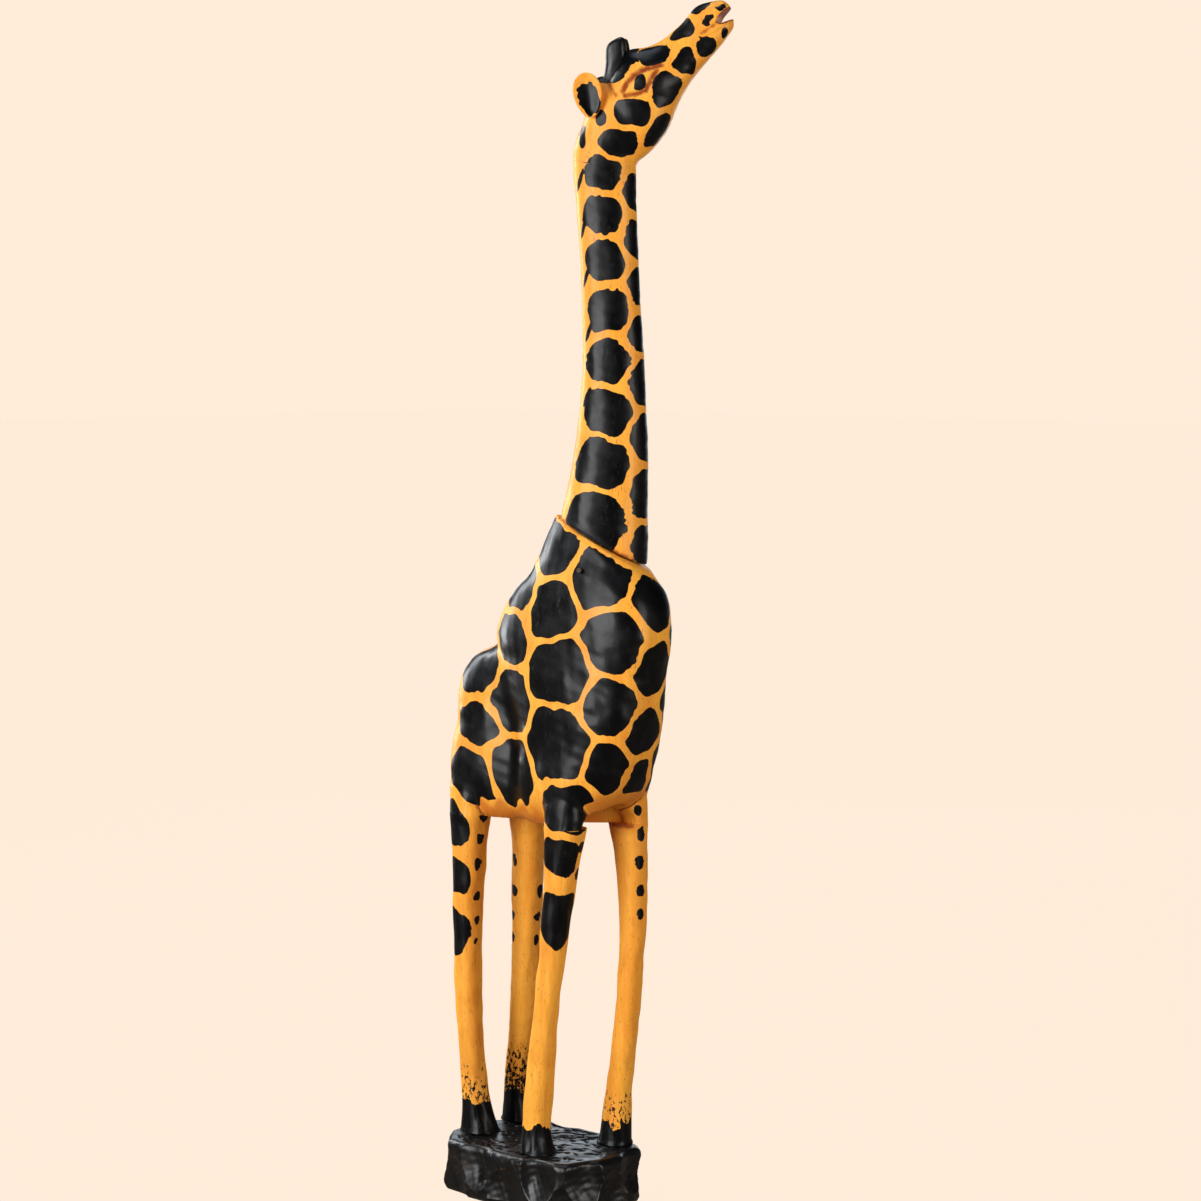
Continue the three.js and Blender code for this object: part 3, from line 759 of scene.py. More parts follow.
def dressNeck():
    # a slightly uneven surface tucked in at the collar, the spots, and two rows of leaning mane
    # strokes, each 2.6 less the distance from its middle, counted shorter along its length
    mesh = neckMesh
    points, normals = readVerts(mesh), readNormals(mesh)
    forward, left, z = toNeck(points)
    above = z - collarZ + slope * forward
    fade = smoothStep(1, 14, above) * smoothStep(0.5, 16, seamZ - z - seamSlope * forward)
    uneven = 0.4 * wobble(points, 50, 3) + 0.16 * wobble(points, 15, 4)
    points = points + normals * (uneven * fade)[:, None]
    tuck = np.exp(-(above / 3.5) ** 2)
    points = points - normals * (1.1 * tuck)[:, None]
    writeVerts(mesh, points)
    depth = neckCoat(points, z)
    notch = np.full(len(points), -99.0)
    centre = np.interp(z, neckLoft["table"][:, 0], neckLoft["table"][:, 1])
    bearing = np.degrees(np.arctan2(left, forward - centre))
    for up, length in maneStrokes:
        for sign in (-1, 1):
            across = (bearing - sign * 140) * 0.45 + sign * (z - collarZ - up) * 0.34
            stroke = 2.6 - np.hypot(across, (z - collarZ - up) * 2.6 / length)
            notch = np.maximum(notch, stroke)
    stain = 0.9 * np.exp(-(above / 6) ** 2) * (0.7 + 0.3 * wobble(points, 9, 6))
    paintLook(mesh, np.maximum(depth, notch), stain)


dressNeck()

print("shapes: head")


def fromFace(along, crown, left):
    # the face's frame back to the statue's: turned by the head's pitch, then by the neck's
    f = along * pitchCos - crown * pitchSin + skull["forward"]
    h = along * pitchSin + crown * pitchCos + skull["up"] + seamZ
    return fromNeck(f, left, h)


def headCore():
    # face, nape and lumps as closed shapes, merged into one skin
    rings = loftRings(faceLoft, faceLoft["table"][0, 0], faceLoft["table"][-1, 0], 70, 72)
    face = ringsToMesh("headCore", fromFace(rings[..., 2], -rings[..., 0], rings[..., 1])[::-1, ::-1])
    nape = loftRings(napeLoft, seamZ - 30, napeLoft["table"][-1, 0], 60, 72)
    parts = [face, ringsToMesh("headCore", fromNeck(nape[..., 0], nape[..., 1], nape[..., 2]))]
    rise = np.linspace(-0.49, 0.49, 20)[:, None] * np.pi
    spin = roundTurn(40)
    for forward, left, up, sizeF, sizeL, sizeU, _ in headLumps:
        lump = fromNeck(
            forward + sizeF * np.cos(rise) * np.cos(spin), left + sizeL * np.cos(rise) * np.sin(spin),
            seamZ + up + sizeU * np.sin(rise) + 0 * spin)
        parts.append(ringsToMesh("headCore", lump))
    return mergeShapes("carvedHead", parts, 1.15)


def mouthWedge():
    # a curved wedge, thin at the corner of the mouth and open at the lips
    reach = np.linspace(0, 1, 24)[:, None]
    ring = np.array([[0, 1], [0, -1], [1, -1], [1, 1]])
    along = 164 + 26 * reach
    middle = -1 - 3.4 * reach ** 0.8
    gape = 0.3 + 6.6 * (1 - np.exp(-4 * reach))
    rows = []
    for high, sign in ring:
        crown = middle + (gape if high else -gape)
        rows.append(np.stack([along, crown, 40 * sign + 0 * along], axis=-1)[:, 0])
    cage = np.stack(rows, axis=1)
    wedge = fromFace(cage[..., 0], cage[..., 1], cage[..., 2])
    return ringsToMesh("mouthWedge", wedge)


headMesh = headCore()
writeVerts(headMesh, pullOnto(headField, readVerts(headMesh), 6))
# the head's flat underside, a hundredth of a millimetre above the seam
cutFlat(headMesh, (statue["neckX"], statue["neckY"], seamZ + 0.01), -seamNormal)
head = addPiece("carvedHead", headMesh)


def openMouth():
    # the head less the wedge
    wedge = mouthWedge()
    fixNormals(wedge.data)
    cut = head.modifiers.new("mouth", "BOOLEAN")
    cut.operation = "DIFFERENCE"
    cut.object = wedge
    graph = bpy.context.evaluated_depsgraph_get()
    head.data = bpy.data.meshes.new_from_object(head.evaluated_get(graph))
    head.modifiers.clear()
    bpy.data.objects.remove(wedge)
    shadeSmooth(head.data)


openMouth()
print("head vertices", len(head.data.vertices))


def nearLine(forward, height, line):
    # distance to a line of points in the head's side view
    best = np.full(len(forward), 99.0)
    line = np.array(line, dtype=float)
    for start, stop in zip(line[:-1], line[1:]):
        run = stop - start
        share = ((forward - start[0]) * run[0] + (height - start[1]) * run[1]) / (run @ run)
        share = np.clip(share, 0, 1)
        away = np.hypot(forward - start[0] - share * run[0], height - start[1] - share * run[1])
        best = np.minimum(best, away)
    return best


# [forward, height above the seam] lines cut into both sides of the head, with depth and half width
headCuts = [
    {"line": [[35, 88], [41, 98], [51, 108], [64, 114.5], [81, 118.5]],
     "depth": 2.4, "width": 3.6, "stain": 0.95},
    {"line": [[76, 112], [70.5, 100], [64, 88]], "depth": 2.5, "width": 3.2, "stain": 0.95},
    {"line": [[38, 82.5], [50, 83.5], [63, 88]], "depth": 2.2, "width": 3.0, "stain": 0.95},
    {"line": [[129, 156], [136, 160], [146, 167], [151, 170]], "depth": 1.3, "width": 2.6, "stain": 0.6},
    {"line": [[132, 151], [147, 158], [158, 166]], "depth": 0.7, "width": 1.8, "stain": 0.3},
    {"line": [[143, 187.5], [150, 190], [156, 188]], "depth": 1.2, "width": 1.2, "stain": 0.25},
    {"line": [[15, 97], [20, 90], [26, 83]], "depth": 1.4, "width": 2.6, "stain": 0.6},
    {"line": [[17, 93], [20, 84]], "depth": 0.8, "width": 2.0, "stain": 0.5},
    {"line": [[4, 48], [0, 30], [-8, 14], [-14, 2]], "depth": 1.2, "width": 5.0, "stain": 0.16},
    {"line": [[6, 10], [30, 2], [40, -2]], "depth": 0.0, "width": 4.0, "stain": 0.2},
]


headPaint = {
    "pollUp": 96, "pollMiddle": 18, "pollFall": 0.35,   # the black poll's lower edge, a shallow V
    "mouthFrom": 163, "mouthLong": 26,                  # where along the face the mouth is open
}


def dressHead():
    # cut lines sunk and stained, the spots, the black poll above its line, and unpainted wood in the
    # mouth, stained dark as painted shade
    mesh = head.data
    points, normals = readVerts(mesh), readNormals(mesh)
    forward, left, z = toNeck(points)
    up = z - seamZ
    outer = smoothStep(0.15, 0.45, np.abs(normals @ np.array([-turnSin, turnCos, 0])))
    fade = smoothStep(0.5, 10, up + seamSlope * forward)
    stain = np.zeros(len(points))
    sink = np.zeros(len(points))
    for cut in headCuts:
        away = nearLine(forward, up, cut["line"])
        groove = np.exp(-(away / cut["width"]) ** 2) * outer
        sink = np.maximum(sink, cut["depth"] * groove)
        stain = np.maximum(stain, cut["stain"] * np.exp(-(away / (cut["width"] * 1.25)) ** 2) * outer)
    uneven = 0.3 * wobble(points, 40, 3) + 0.14 * wobble(points, 13, 4)
    points = points + normals * (uneven * fade - sink)[:, None]
    writeVerts(mesh, points)
    depth = neckCoat(points, z)
    moved = handPainted(points, 61, 2.2, 1.6, 20)
    movedForward, _, movedZ = toNeck(moved)
    (f0, u0), (f1, u1), (f2, u2) = pollLine
    overLow = (movedZ - seamZ - u0) * (f1 - f0) - (movedForward - f0) * (u1 - u0)
    overHigh = (movedZ - seamZ - u1) * (f2 - f1) - (movedForward - f1) * (u2 - u1)
    poll = np.maximum(overLow / math.hypot(f1 - f0, u1 - u0), overHigh / math.hypot(f2 - f1, u2 - u1))
    fall = headPaint["pollFall"] * np.abs(movedForward - headPaint["pollMiddle"])
    poll = np.minimum(poll, movedZ - seamZ - headPaint["pollUp"] - fall)
    poll = np.minimum(poll, f2 - 1 - movedForward)
    depth = np.maximum(depth, np.clip(poll, -20, 8))
    depth = np.minimum(depth, 7 - 11 * np.clip(stain, 0, 1.1) ** 1.4)
    along, crown, _ = toFace(points)
    start = headPaint["mouthFrom"]
    gape = 7.4 * (1 - np.exp(-4 * np.clip((along - start) / headPaint["mouthLong"], 0, 2)))
    inMouth = smoothStep(start, start + 3, along) * (1 - smoothStep(gape, gape + 1.5, np.abs(crown + 3.4)))
    # painted shade: the inside of the mouth stays unpainted and takes the full stain colour, darkened as the
    # gap's shade
    depth = np.where(inMouth > 0.4, -6, depth)
    paintLook(mesh, depth, np.clip(np.maximum(stain, inMouth), 0, 1))


dressHead()

print("shapes: legs")

# [x, y, height above the seat, radius, squash] of the small dots down each leg
legSpots = {
    "front_right_leg": [
        [99, -34, 6, 7, 0.8], [97, -32, -22, 7, 0.8], [91, -31, -56, 7.5, 0.8], [80, -32, -138, 7, 0.7]],
    "rear_right_leg": [
        [-76, -34, -2, 6.8, 0.75], [-77, -36, -30, 6.6, 0.7], [-80, -36, -62, 6.4, 0.7],
        [-83, -34, -106, 6.4, 0.7], [-85, -33, -136, 6.4, 0.7], [-85, -34, -160, 6.2, 0.7]],
    "front_left_leg": [
        [124, 44, -12, 7, 0.72], [122, 43, -46, 7, 0.72], [122, 45, -84, 7, 0.72], [121, 46, -110, 7, 0.72]],
    "rear_left_leg": [
        [-59, 54, -108, 7, 0.6], [-62, 53, -140, 7, 0.6], [-65, 53, -168, 6, 0.6], [-83, 31, -66, 6, 0.7],
        [-85, 33, -106, 6.5, 0.7], [-91, 36, -138, 6, 0.7], [-92, 37, -166, 5.5, 0.7]],
}
# black hoof above the block, how far the spatter reaches above it, and how thick the spatter is
legPaint = {
    "front_right_leg": {"hoof": 33, "spatterUp": 40, "spatter": 0.6},
    "front_left_leg": {"hoof": 35, "spatterUp": 85, "spatter": 0.9},
    "rear_right_leg": {"hoof": 39, "spatterUp": 115, "spatter": 0.92},
    "rear_left_leg": {"hoof": 36, "spatterUp": 150, "spatter": 1.15},
}
legPieces = {}


def carveLeg(name):
    # the leg's loft made uneven, wider at its foot; small dots, the body's spots, a ragged hoof edge,
    # spatter that thins out going up, and painted shade on the inner faces at its top
    loft, look = legLofts[name], legPaint[name]
    rings = loftRings(loft, blockTop + joinGap, seatZ + 1, 300, 84)
    piece = ringsToMesh("carved_" + name, rings)
    mesh = piece.data
    shadeSmooth(mesh)
    points, normals = readVerts(mesh), readNormals(mesh)
    level = points[:, 2] - blockTop
    fade = smoothStep(0, 14, seatZ - points[:, 2]) * smoothStep(0, 6, level)
    stretched = points * np.array([1, 1, 0.35])
    uneven = 0.6 * wobble(stretched, 22, 5 + len(name)) + 0.2 * wobble(stretched, 8, 6 + len(name))
    flare = 0.9 * np.exp(-(level / 3.0) ** 2)
    points = points + normals * np.array([1, 1, 0]) * (uneven * fade + flare - 0.5 * fade)[:, None]
    writeVerts(mesh, points)
    spots = [[x, y, seatZ + up, size, squash] for x, y, up, size, squash in legSpots[name]]
    depth = spotDepth(handPainted(points, 41, 0.9, 0.9, 16), spots, 5, 0.45)
    depth = np.maximum(depth, coatDepth(points))
    drips = points * np.array([1, 1, 0.25])
    ragged = 6 * wobble(points, 34, 50) + 2.5 * wobble(drips, 13, 51) + 2.2 * wobble(drips, 5, 52)
    depth = np.maximum(depth, np.clip(look["hoof"] + ragged - level, -99, 8))
    spatter = look["spatter"] * (1 - smoothStep(look["hoof"], look["hoof"] + look["spatterUp"], level))
    # painted shade: the faces turned in between the legs, near their tops, take the browner wood
    inner = smoothStep(-20, 2, points[:, 2] - seatZ) * smoothStep(
        0.2, 0.9, normals @ np.array([0, 1.0 if "right" in name else -1.0, 0]))
    seam = np.exp(-((seatZ - points[:, 2]) / 5) ** 2) * inner
    paintLook(mesh, depth, np.clip(seam, 0, 1), 0.7 * inner, spatter)
    legPieces[name] = piece


for legName in legRows:
    carveLeg(legName)

print("shapes: ears, horns and tail")

ear = {
    "forward": -6.5, "side": 40.0, "up": 83.0, "halfWidth": 17.5, "halfLength": 27.0, "rim": 5.5,
    "lean": -9.0, "patchForward": 1.5, "patchUp": -4.0, "patchLean": -22.0, "patchWide": 12.5,
    "patchLong": 19.5, "patchSquare": 3.2}


def carveEar(name, sign):
    # a leaf whose outer face is dished: the section is an oval with the outer half pushed in
    share = np.sin(np.linspace(-0.5, 0.5, 90) * np.pi * 0.985)[:, None]
    spin = roundTurn(110)
    widest = ear["halfWidth"] * np.sqrt(1 - share ** 2) * (1 + 0.18 * share)
    across = widest * np.cos(spin)
    dish = np.where(np.sin(spin) > 0, 1 - 1.25 * np.sin(spin) ** 2 * (1 - share ** 4), 1.0)
    thick = ear["rim"] * (0.45 + 0.55 * np.sqrt(1 - share ** 2)) * np.sin(spin) * dish
    lean = math.radians(ear["lean"])
    length = ear["halfLength"] * share + 0 * spin
    forward = ear["forward"] + across * math.cos(lean) + length * math.sin(lean)
    up = seamZ + ear["up"] - across * math.sin(lean) + length * math.cos(lean)
    side = sign * (ear["side"] + thick + 2.5 * share)
    rings = fromNeck(forward, side, up)
    piece = ringsToMesh(name, rings if sign > 0 else rings[:, ::-1])
    mesh = piece.data
    fixNormals(mesh)
    shadeSmooth(mesh)
    points = readVerts(mesh)
    forward, _, z = toNeck(points)
    f = forward - ear["forward"] - ear["patchForward"]
    u = z - seamZ - ear["up"] - ear["patchUp"]
    tilt = math.radians(ear["patchLean"])
    across = f * math.cos(tilt) - u * math.sin(tilt)
    length = f * math.sin(tilt) + u * math.cos(tilt)
    n = ear["patchSquare"]
    box = ((np.abs(across) / ear["patchWide"]) ** n + (np.abs(length) / ear["patchLong"]) ** n) ** (1 / n)
    normals = readNormals(mesh)
    facing = normals @ np.array([-turnSin, turnCos, 0]) * sign
    patch = np.where(facing > 0.15, (1 - box) * 10, -8) + 0.9 * wobble(points, 9, 61)
    paintLook(mesh, patch, 0.35 * np.exp(-((box - 1.12) / 0.12) ** 2) * (facing > 0.1))
    return piece


horn = {"forward": 20.0, "up": 110.0, "spread": 10.5}


def carveHorn(name, sign):
    # a blunt loft whose top slopes up forward, made slightly uneven
    side = sign * horn["spread"]
    rows = [
        [-14, 4, side, 19, 9.4], [0, 3, side, 16, 9], [14, 2.2, side, 13.6, 8.6], [26, 1.4, side, 12, 8.2],
        [34, 0.6, side, 11.0, 7.8], [38, 0.3, side, 9.8, 7], [40.6, 0.2, side, 6.4, 5],
        [41.4, 0.2, side, 1, 1]]
    rings = loftRings(makeLoft(rows, 2.9), rows[0][0], rows[-1][0], 110, 72)
    forward, left, up = rings[..., 0], rings[..., 1], rings[..., 2]
    lift = 0.5 * forward * smoothStep(20, 36, up)
    rings = fromNeck(forward + horn["forward"], left, up + lift + seamZ + horn["up"])
    piece = ringsToMesh(name, rings)
    mesh = piece.data
    shadeSmooth(mesh)
    points, normals = readVerts(mesh), readNormals(mesh)
    points = points + normals * (0.3 * wobble(points, 26, 71 + sign))[:, None]
    writeVerts(mesh, points)
    return piece


def carveTail():
    # a loft hanging behind the rump, with strands cut into a tuft that is painted black
    x, y, top = -143.0, statue["bodyY"], tailTop - 8
    rows = [
        [top - 190, x - 2, y, 1.5, 1.5], [top - 176, x - 1, y, 7, 6.5], [top - 158, x, y, 9.5, 9],
        [top - 130, x + 1, y, 6, 6], [top - 60, x + 1, y, 6.2, 6.2], [top - 12, x + 3, y, 7, 7],
        [top, x + 5, y, 6, 6], [top + 7, x + 8, y, 2.5, 3]]
    piece = ringsToMesh("carvedTail", loftRings(makeLoft(rows, 2.1), rows[0][0], rows[-1][0], 160, 60))
    mesh = piece.data
    shadeSmooth(mesh)
    points, normals = readVerts(mesh), readNormals(mesh)
    hair = smoothStep(top - 128, top - 150, points[:, 2])
    strands = np.sin(np.arctan2(points[:, 1] - y, points[:, 0] - x) * 13 + points[:, 2] * 0.11)
    points = points + normals * (0.3 * wobble(points, 20, 81) + 0.5 * hair * strands)[:, None]
    writeVerts(mesh, points)
    depth = (top - 118 - points[:, 2]) + 2.5 * wobble(points, 8, 82)
    paintLook(mesh, np.clip(depth, -9, 9))
    return piece


ears = {"right_ear": carveEar("carvedRightEar", -1), "left_ear": carveEar("carvedLeftEar", 1)}
horns = {"right_horn": carveHorn("carvedRightHorn", -1), "left_horn": carveHorn("carvedLeftHorn", 1)}
tail = carveTail()

print("shapes: block")

block = {
    "length": 252.0, "width": 166.0, "square": 3.8, "rim": 10.0, "chips": 190, "chipDepth": 2.8,
    "shift": [-4.5, -2.0],
    # [x, y, height, half width, half height, depth] of the gouged hollows round the side
    "scoops": [
        [-119, -64, 54, 27, 44, 7], [-84, -80, 12, 27, 36, 8], [-40, -82, 54, 28, 42, 10],
        [14, -82, 14, 32, 36, 7], [66, -82, 50, 27, 36, 11], [104, -78, 10, 26, 30, 6],
        [124, -52, 46, 30, 36, 11], [125, -4, 18, 26, 34, 8], [125, 38, 50, 27, 36, 10],
        [108, 74, 22, 27, 40, 8], [64, 82, 52, 28, 38, 10], [14, 82, 18, 30, 36, 8],
        [-38, 82, 50, 28, 40, 10], [-88, 80, 20, 28, 38, 8], [-122, 52, 50, 28, 40, 10],
        [-125, 4, 26, 28, 42, 8]],
}


def carveBlock():
    # a squarish oval whose side is pulled in by the deepest scoop at each place, with worn ridges
    # where two scoops are equally deep, and a top lowered by short chips
    columns, side, over = 540, 74, 76
    angle = roundTurn(columns)
    cos, sin = np.cos(angle), np.sin(angle)
    n = block["square"]
    halfX, halfY = block["length"] / 2, block["width"] / 2
    edge = ((np.abs(cos) / halfX) ** n + (np.abs(sin) / halfY) ** n) ** (-1 / n)
    rim = block["rim"]
    # the profile goes up the side, round the rim and in to the middle of the top
    quarter = np.linspace(0, np.pi / 2, 16)[1:]
    height = np.concatenate([
        [0.0, 0.6, 2.2, 5.0], np.linspace(7, blockTop - rim, side), blockTop - rim + rim * np.sin(quarter),
        np.full(over, blockTop)])
    inset = np.concatenate([
        [6.0, 4.2, 2.6, 1.2], np.zeros(side), rim - rim * np.cos(quarter), np.full(over, rim)])
    inward = np.concatenate([np.zeros(4 + side + len(quarter)), np.linspace(0, 1, over + 1)[1:] * 0.995])
    reach = (edge - inset[:, None]) * (1 - inward[:, None])
    x, y = reach * cos, reach * sin
    z = height[:, None] + 0 * x
    x, y = x + block["shift"][0], y + block["shift"][1]
    outX, outY = edge * cos + block["shift"][0], edge * sin + block["shift"][1]
    depths = []
    for sx, sy, sz, halfWide, halfHigh, depth in block["scoops"]:
        round2 = ((outX - sx) ** 2 + (outY - sy) ** 2) / halfWide ** 2
        depths.append(depth * (1 - round2 - ((z - sz) / halfHigh) ** 2))
    depths = np.sort(np.array(depths), axis=0)
    gouge = np.maximum(depths[-1], 0)
    onSide = (1 - smoothStep(0.0, 0.12, inward))[:, None]
    pull = gouge * onSide
    ridge = np.exp(-((depths[-1] - np.maximum(depths[-2], 0)) / 0.8) ** 2) * (depths[-1] > -1.0) * onSide
    unevenAt = np.stack([x, y, z], axis=-1).reshape(-1, 3)
    uneven = (0.7 * wobble(unevenAt, 40, 91) + 0.3 * wobble(unevenAt, 13, 92)).reshape(x.shape)
    pull = pull + uneven * onSide * smoothStep(0, 8, z)
    x, y = x - pull * cos, y - pull * sin
    # short chisel chips over the top
    draw = np.random.default_rng(17)
    sunk = np.zeros_like(x)
    topZone = smoothStep(0.02, 0.1, inward)[:, None] + 0 * x
    for _ in range(block["chips"]):
        far = math.sqrt(draw.uniform(0, 1)) * 0.9
        at = draw.uniform(0, 2 * np.pi)
        size = ((abs(math.cos(at)) / halfX) ** n + (abs(math.sin(at)) / halfY) ** n) ** (-1 / n)
        chipX, chipY = far * size * math.cos(at), far * size * math.sin(at)
        heading = draw.normal(0.5, 0.75)
        long, wide = draw.uniform(6, 10), draw.uniform(3.0, 4.8)
        u = (x - chipX) * math.cos(heading) + (y - chipY) * math.sin(heading)
        v = -(x - chipX) * math.sin(heading) + (y - chipY) * math.cos(heading)
        u = u + 0.5 * u * (v / wide)
        lens = 1 - (u / long) ** 2 - np.abs(v / wide) * 0.9
        lean = 0.55 + 0.45 * v / wide
        sunk = np.maximum(sunk, np.maximum(lens, 0) ** 0.8 * lean * draw.uniform(0.7, 1.3))
    wear = np.exp(-((sunk - 0.12) / 0.07) ** 2) * topZone
    z = z - block["chipDepth"] * sunk * topZone
    topPoints = np.stack([x, y, z], axis=-1).reshape(-1, 3)
    z = z + 0.5 * topZone * wobble(topPoints, 30, 93).reshape(x.shape) - 0.6 * topZone
    piece = ringsToMesh("gougedBlock", np.stack([x, y, z], axis=-1))
    mesh = piece.data
    shadeSmooth(mesh)
    paintAttribute(mesh, "ridgeWear", np.append(np.maximum(ridge, 0.6 * wear).ravel(), [0, 0]))
    return piece


gougedBlock = carveBlock()
print("shapes done")


# materials: small helpers, then the shared effects, then one material for each finish

def addNode(tree, kind, *sockets, **settings):
    # a node with its first input sockets filled in order and its plain settings given by name
    node = tree.nodes.new("ShaderNode" + kind)
    for key, value in settings.items():
        setattr(node, key, value)
    for value, socket in zip(sockets, node.inputs):
        if value is not None:
            join(tree, value, socket)
    return node


def join(tree, value, socket):
    # links a socket or sets a constant
    if isinstance(value, bpy.types.NodeSocket):
        tree.links.new(value, socket)
    else:
        socket.default_value = value


def calc(tree, operation, first, second=0.0, third=0.0):
    # one sum, named as Blender names it
    return addNode(tree, "Math", first, second, third, operation=operation).outputs[0]


def times(tree, first, second):
    # the product of two values
    return calc(tree, "MULTIPLY", first, second)


def ramp(tree, value, low, high, outLow=0.0, outHigh=1.0):
    # a soft step: value from low to high becomes outLow to outHigh
    return addNode(tree, "MapRange", value, low, high, outLow, outHigh,
                   interpolation_type="SMOOTHSTEP").outputs[0]


def mixColour(tree, share, first, second):
    # first times what the share lacks of 1, plus second times the share
    node = tree.nodes.new("ShaderNodeMix")
    node.data_type = "RGBA"
    for value, socket in ((share, node.inputs[0]), (first, node.inputs[6]), (second, node.inputs[7])):
        join(tree, value, socket)
    return node.outputs[2]


def noise(tree, place, scale, detail=3.0, rough=0.5, twist=0.0):
    # a smooth random value between 0 and 1, about 0.5 in the middle
    node = tree.nodes.new("ShaderNodeTexNoise")
    join(tree, place, node.inputs["Vector"])
    for key, value in (("Scale", scale), ("Detail", detail), ("Roughness", rough), ("Distortion", twist)):
        join(tree, value, node.inputs[key])
    return node.outputs[0]


def bumpOf(tree, strength, height):
    # a bump whose height is in millimetres
    node = addNode(tree, "Bump", strength, 0.001)
    join(tree, height, node.inputs["Height"])
    return node


def stretch(tree, place, scale, turn=(0.0, 0.0, 0.0)):
    # the place turned by these degrees and scaled on each axis
    node = tree.nodes.new("ShaderNodeMapping")
    join(tree, place, node.inputs["Vector"])
    node.inputs["Rotation"].default_value = [math.radians(angle) for angle in turn]
    node.inputs["Scale"].default_value = scale
    return node.outputs[0]


def newGroup(name, inputs, outputs):
    # inputs and outputs are (name, kind) pairs; returns the group and its two end nodes
    group = bpy.data.node_groups.new(name, "ShaderNodeTree")
    for label, kind in inputs:
        group.interface.new_socket(label, in_out="INPUT", socket_type="NodeSocket" + kind)
    for label, kind in outputs:
        group.interface.new_socket(label, in_out="OUTPUT", socket_type="NodeSocket" + kind)
    return group, group.nodes.new("NodeGroupInput").outputs, group.nodes.new("NodeGroupOutput").inputs


def useGroup(tree, group, *values):
    # a shared effect with its inputs filled in order; returns its outputs
    node = tree.nodes.new("ShaderNodeGroup")
    node.node_tree = group
    for value, socket in zip(values, node.inputs):
        join(tree, value, socket)
    return node.outputs


def colourOf(red, green, blue):
    # a display colour from 0 to 255 as the linear colour that the shaders use
    shares = [value / 255 for value in (red, green, blue)]
    linear = [share / 12.92 if share < 0.04045 else ((share + 0.055) / 1.055) ** 2.4 for share in shares]
    return linear + [1.0]


def makeWoodGrain():
    # tone: long soft streaks along the grain plus fine ones; pores: short dark dashes
    group, given, out = newGroup(
        "woodGrain", [("place", "Vector"), ("across", "Float")],
        [("tone", "Float"), ("pores", "Float"), ("fibre", "Float")])
    along = stretch(group, given["place"], (1.0, 1.0, 0.09), (3, -4, 0))
    broad = noise(group, along, 38.0, 2.0, 0.5, 0.3)
    fine = noise(group, along, times(group, given["across"], 260.0), 3.0, 0.6, 0.2)
    dashes = noise(group, stretch(group, given["place"], (1.0, 1.0, 0.16), (3, -4, 0)), 820.0, 1.0, 0.4)
    tone = calc(group, "ADD", times(group, broad, 0.6), times(group, fine, 0.4))
    join(group, tone, out["tone"])
    join(group, ramp(group, dashes, 0.66, 0.74), out["pores"])
    join(group, fine, out["fibre"])
    return group


def makeBrushEdge():
    # a painted edge: the distance to the edge, pushed about by noise, becomes a crisp mask
    group, given, out = newGroup(
        "brushEdge", [("place", "Vector"), ("depth", "Float"), ("ragged", "Float")],
        [("mask", "Float"), ("film", "Float")])
    slow = calc(group, "SUBTRACT", noise(group, given["place"], 95.0, 1.0), 0.5)
    quick = calc(group, "SUBTRACT", noise(group, given["place"], 420.0, 3.0, 0.65), 0.5)
    push = calc(group, "ADD", times(group, slow, 5.0), times(group, quick, 3.2))
    edge = calc(group, "MULTIPLY_ADD", push, given["ragged"], given["depth"])
    join(group, ramp(group, edge, -0.16, 0.16), out["mask"])
    join(group, ramp(group, edge, -0.35, 0.5), out["film"])
    return group


def makeRubbed():
    # fine scratches and small rubbed places: thin bands where stretched noise crosses its middle
    group, given, out = newGroup(
        "rubbed", [("place", "Vector"), ("amount", "Float")], [("scratches", "Float"), ("bare", "Float")])
    marks = None
    for turn, scale in (((20, 60, 0), 55.0), ((-50, 15, 30), 70.0), ((80, -30, 10), 48.0)):
        along = stretch(group, given["place"], (1.0, 0.06, 1.0), turn)
        middle = calc(group, "SUBTRACT", noise(group, along, scale, 1.0, 0.3, 0.2), 0.5)
        band = calc(group, "ABSOLUTE", middle)
        line = ramp(group, band, 0.0, 0.006, 1.0, 0.0)
        marks = line if marks is None else calc(group, "MAXIMUM", marks, line)
    where = ramp(group, noise(group, given["place"], 60.0, 2.0), 0.52, 0.66)
    join(group, times(group, times(group, marks, where), given["amount"]), out["scratches"])
    spots = ramp(group, noise(group, given["place"], 330.0, 4.0, 0.75), 0.68, 0.74)
    join(group, times(group, times(group, spots, where), given["amount"]), out["bare"])
    return group


def makeFlecks():
    # round flecks of paint, thicker where the amount is greater
    group, given, out = newGroup(
        "flecks", [("place", "Vector"), ("amount", "Float")], [("mask", "Float")])
    clump = noise(group, stretch(group, given["place"], (1.0, 1.0, 0.62)), 250.0, 4.0, 0.72)
    level = calc(group, "MULTIPLY_ADD", given["amount"], -0.3, 0.8)
    over = calc(group, "SUBTRACT", clump, level)
    join(group, ramp(group, over, -0.005, 0.012), out["mask"])
    return group


def makeHandCut():
    # the slight flats and ripples that a knife and rasp leave, as a height
    group, given, out = newGroup(
        "handCut", [("place", "Vector"), ("size", "Float")], [("height", "Float")])
    cells = group.nodes.new("ShaderNodeTexVoronoi")
    cells.feature = "SMOOTH_F1"
    join(group, stretch(group, given["place"], (1.0, 1.0, 0.55)), cells.inputs["Vector"])
    join(group, given["size"], cells.inputs["Scale"])
    cells.inputs["Smoothness"].default_value = 0.35
    ripple = noise(group, stretch(group, given["place"], (1.0, 1.0, 0.4)), 46.0, 2.0, 0.5, 0.6)
    join(group, calc(group, "ADD", times(group, cells.outputs["Distance"], 0.6), ripple), out["height"])
    return group


woodGrain, brushEdge, rubbed = makeWoodGrain(), makeBrushEdge(), makeRubbed()
flecks, handCut = makeFlecks(), makeHandCut()
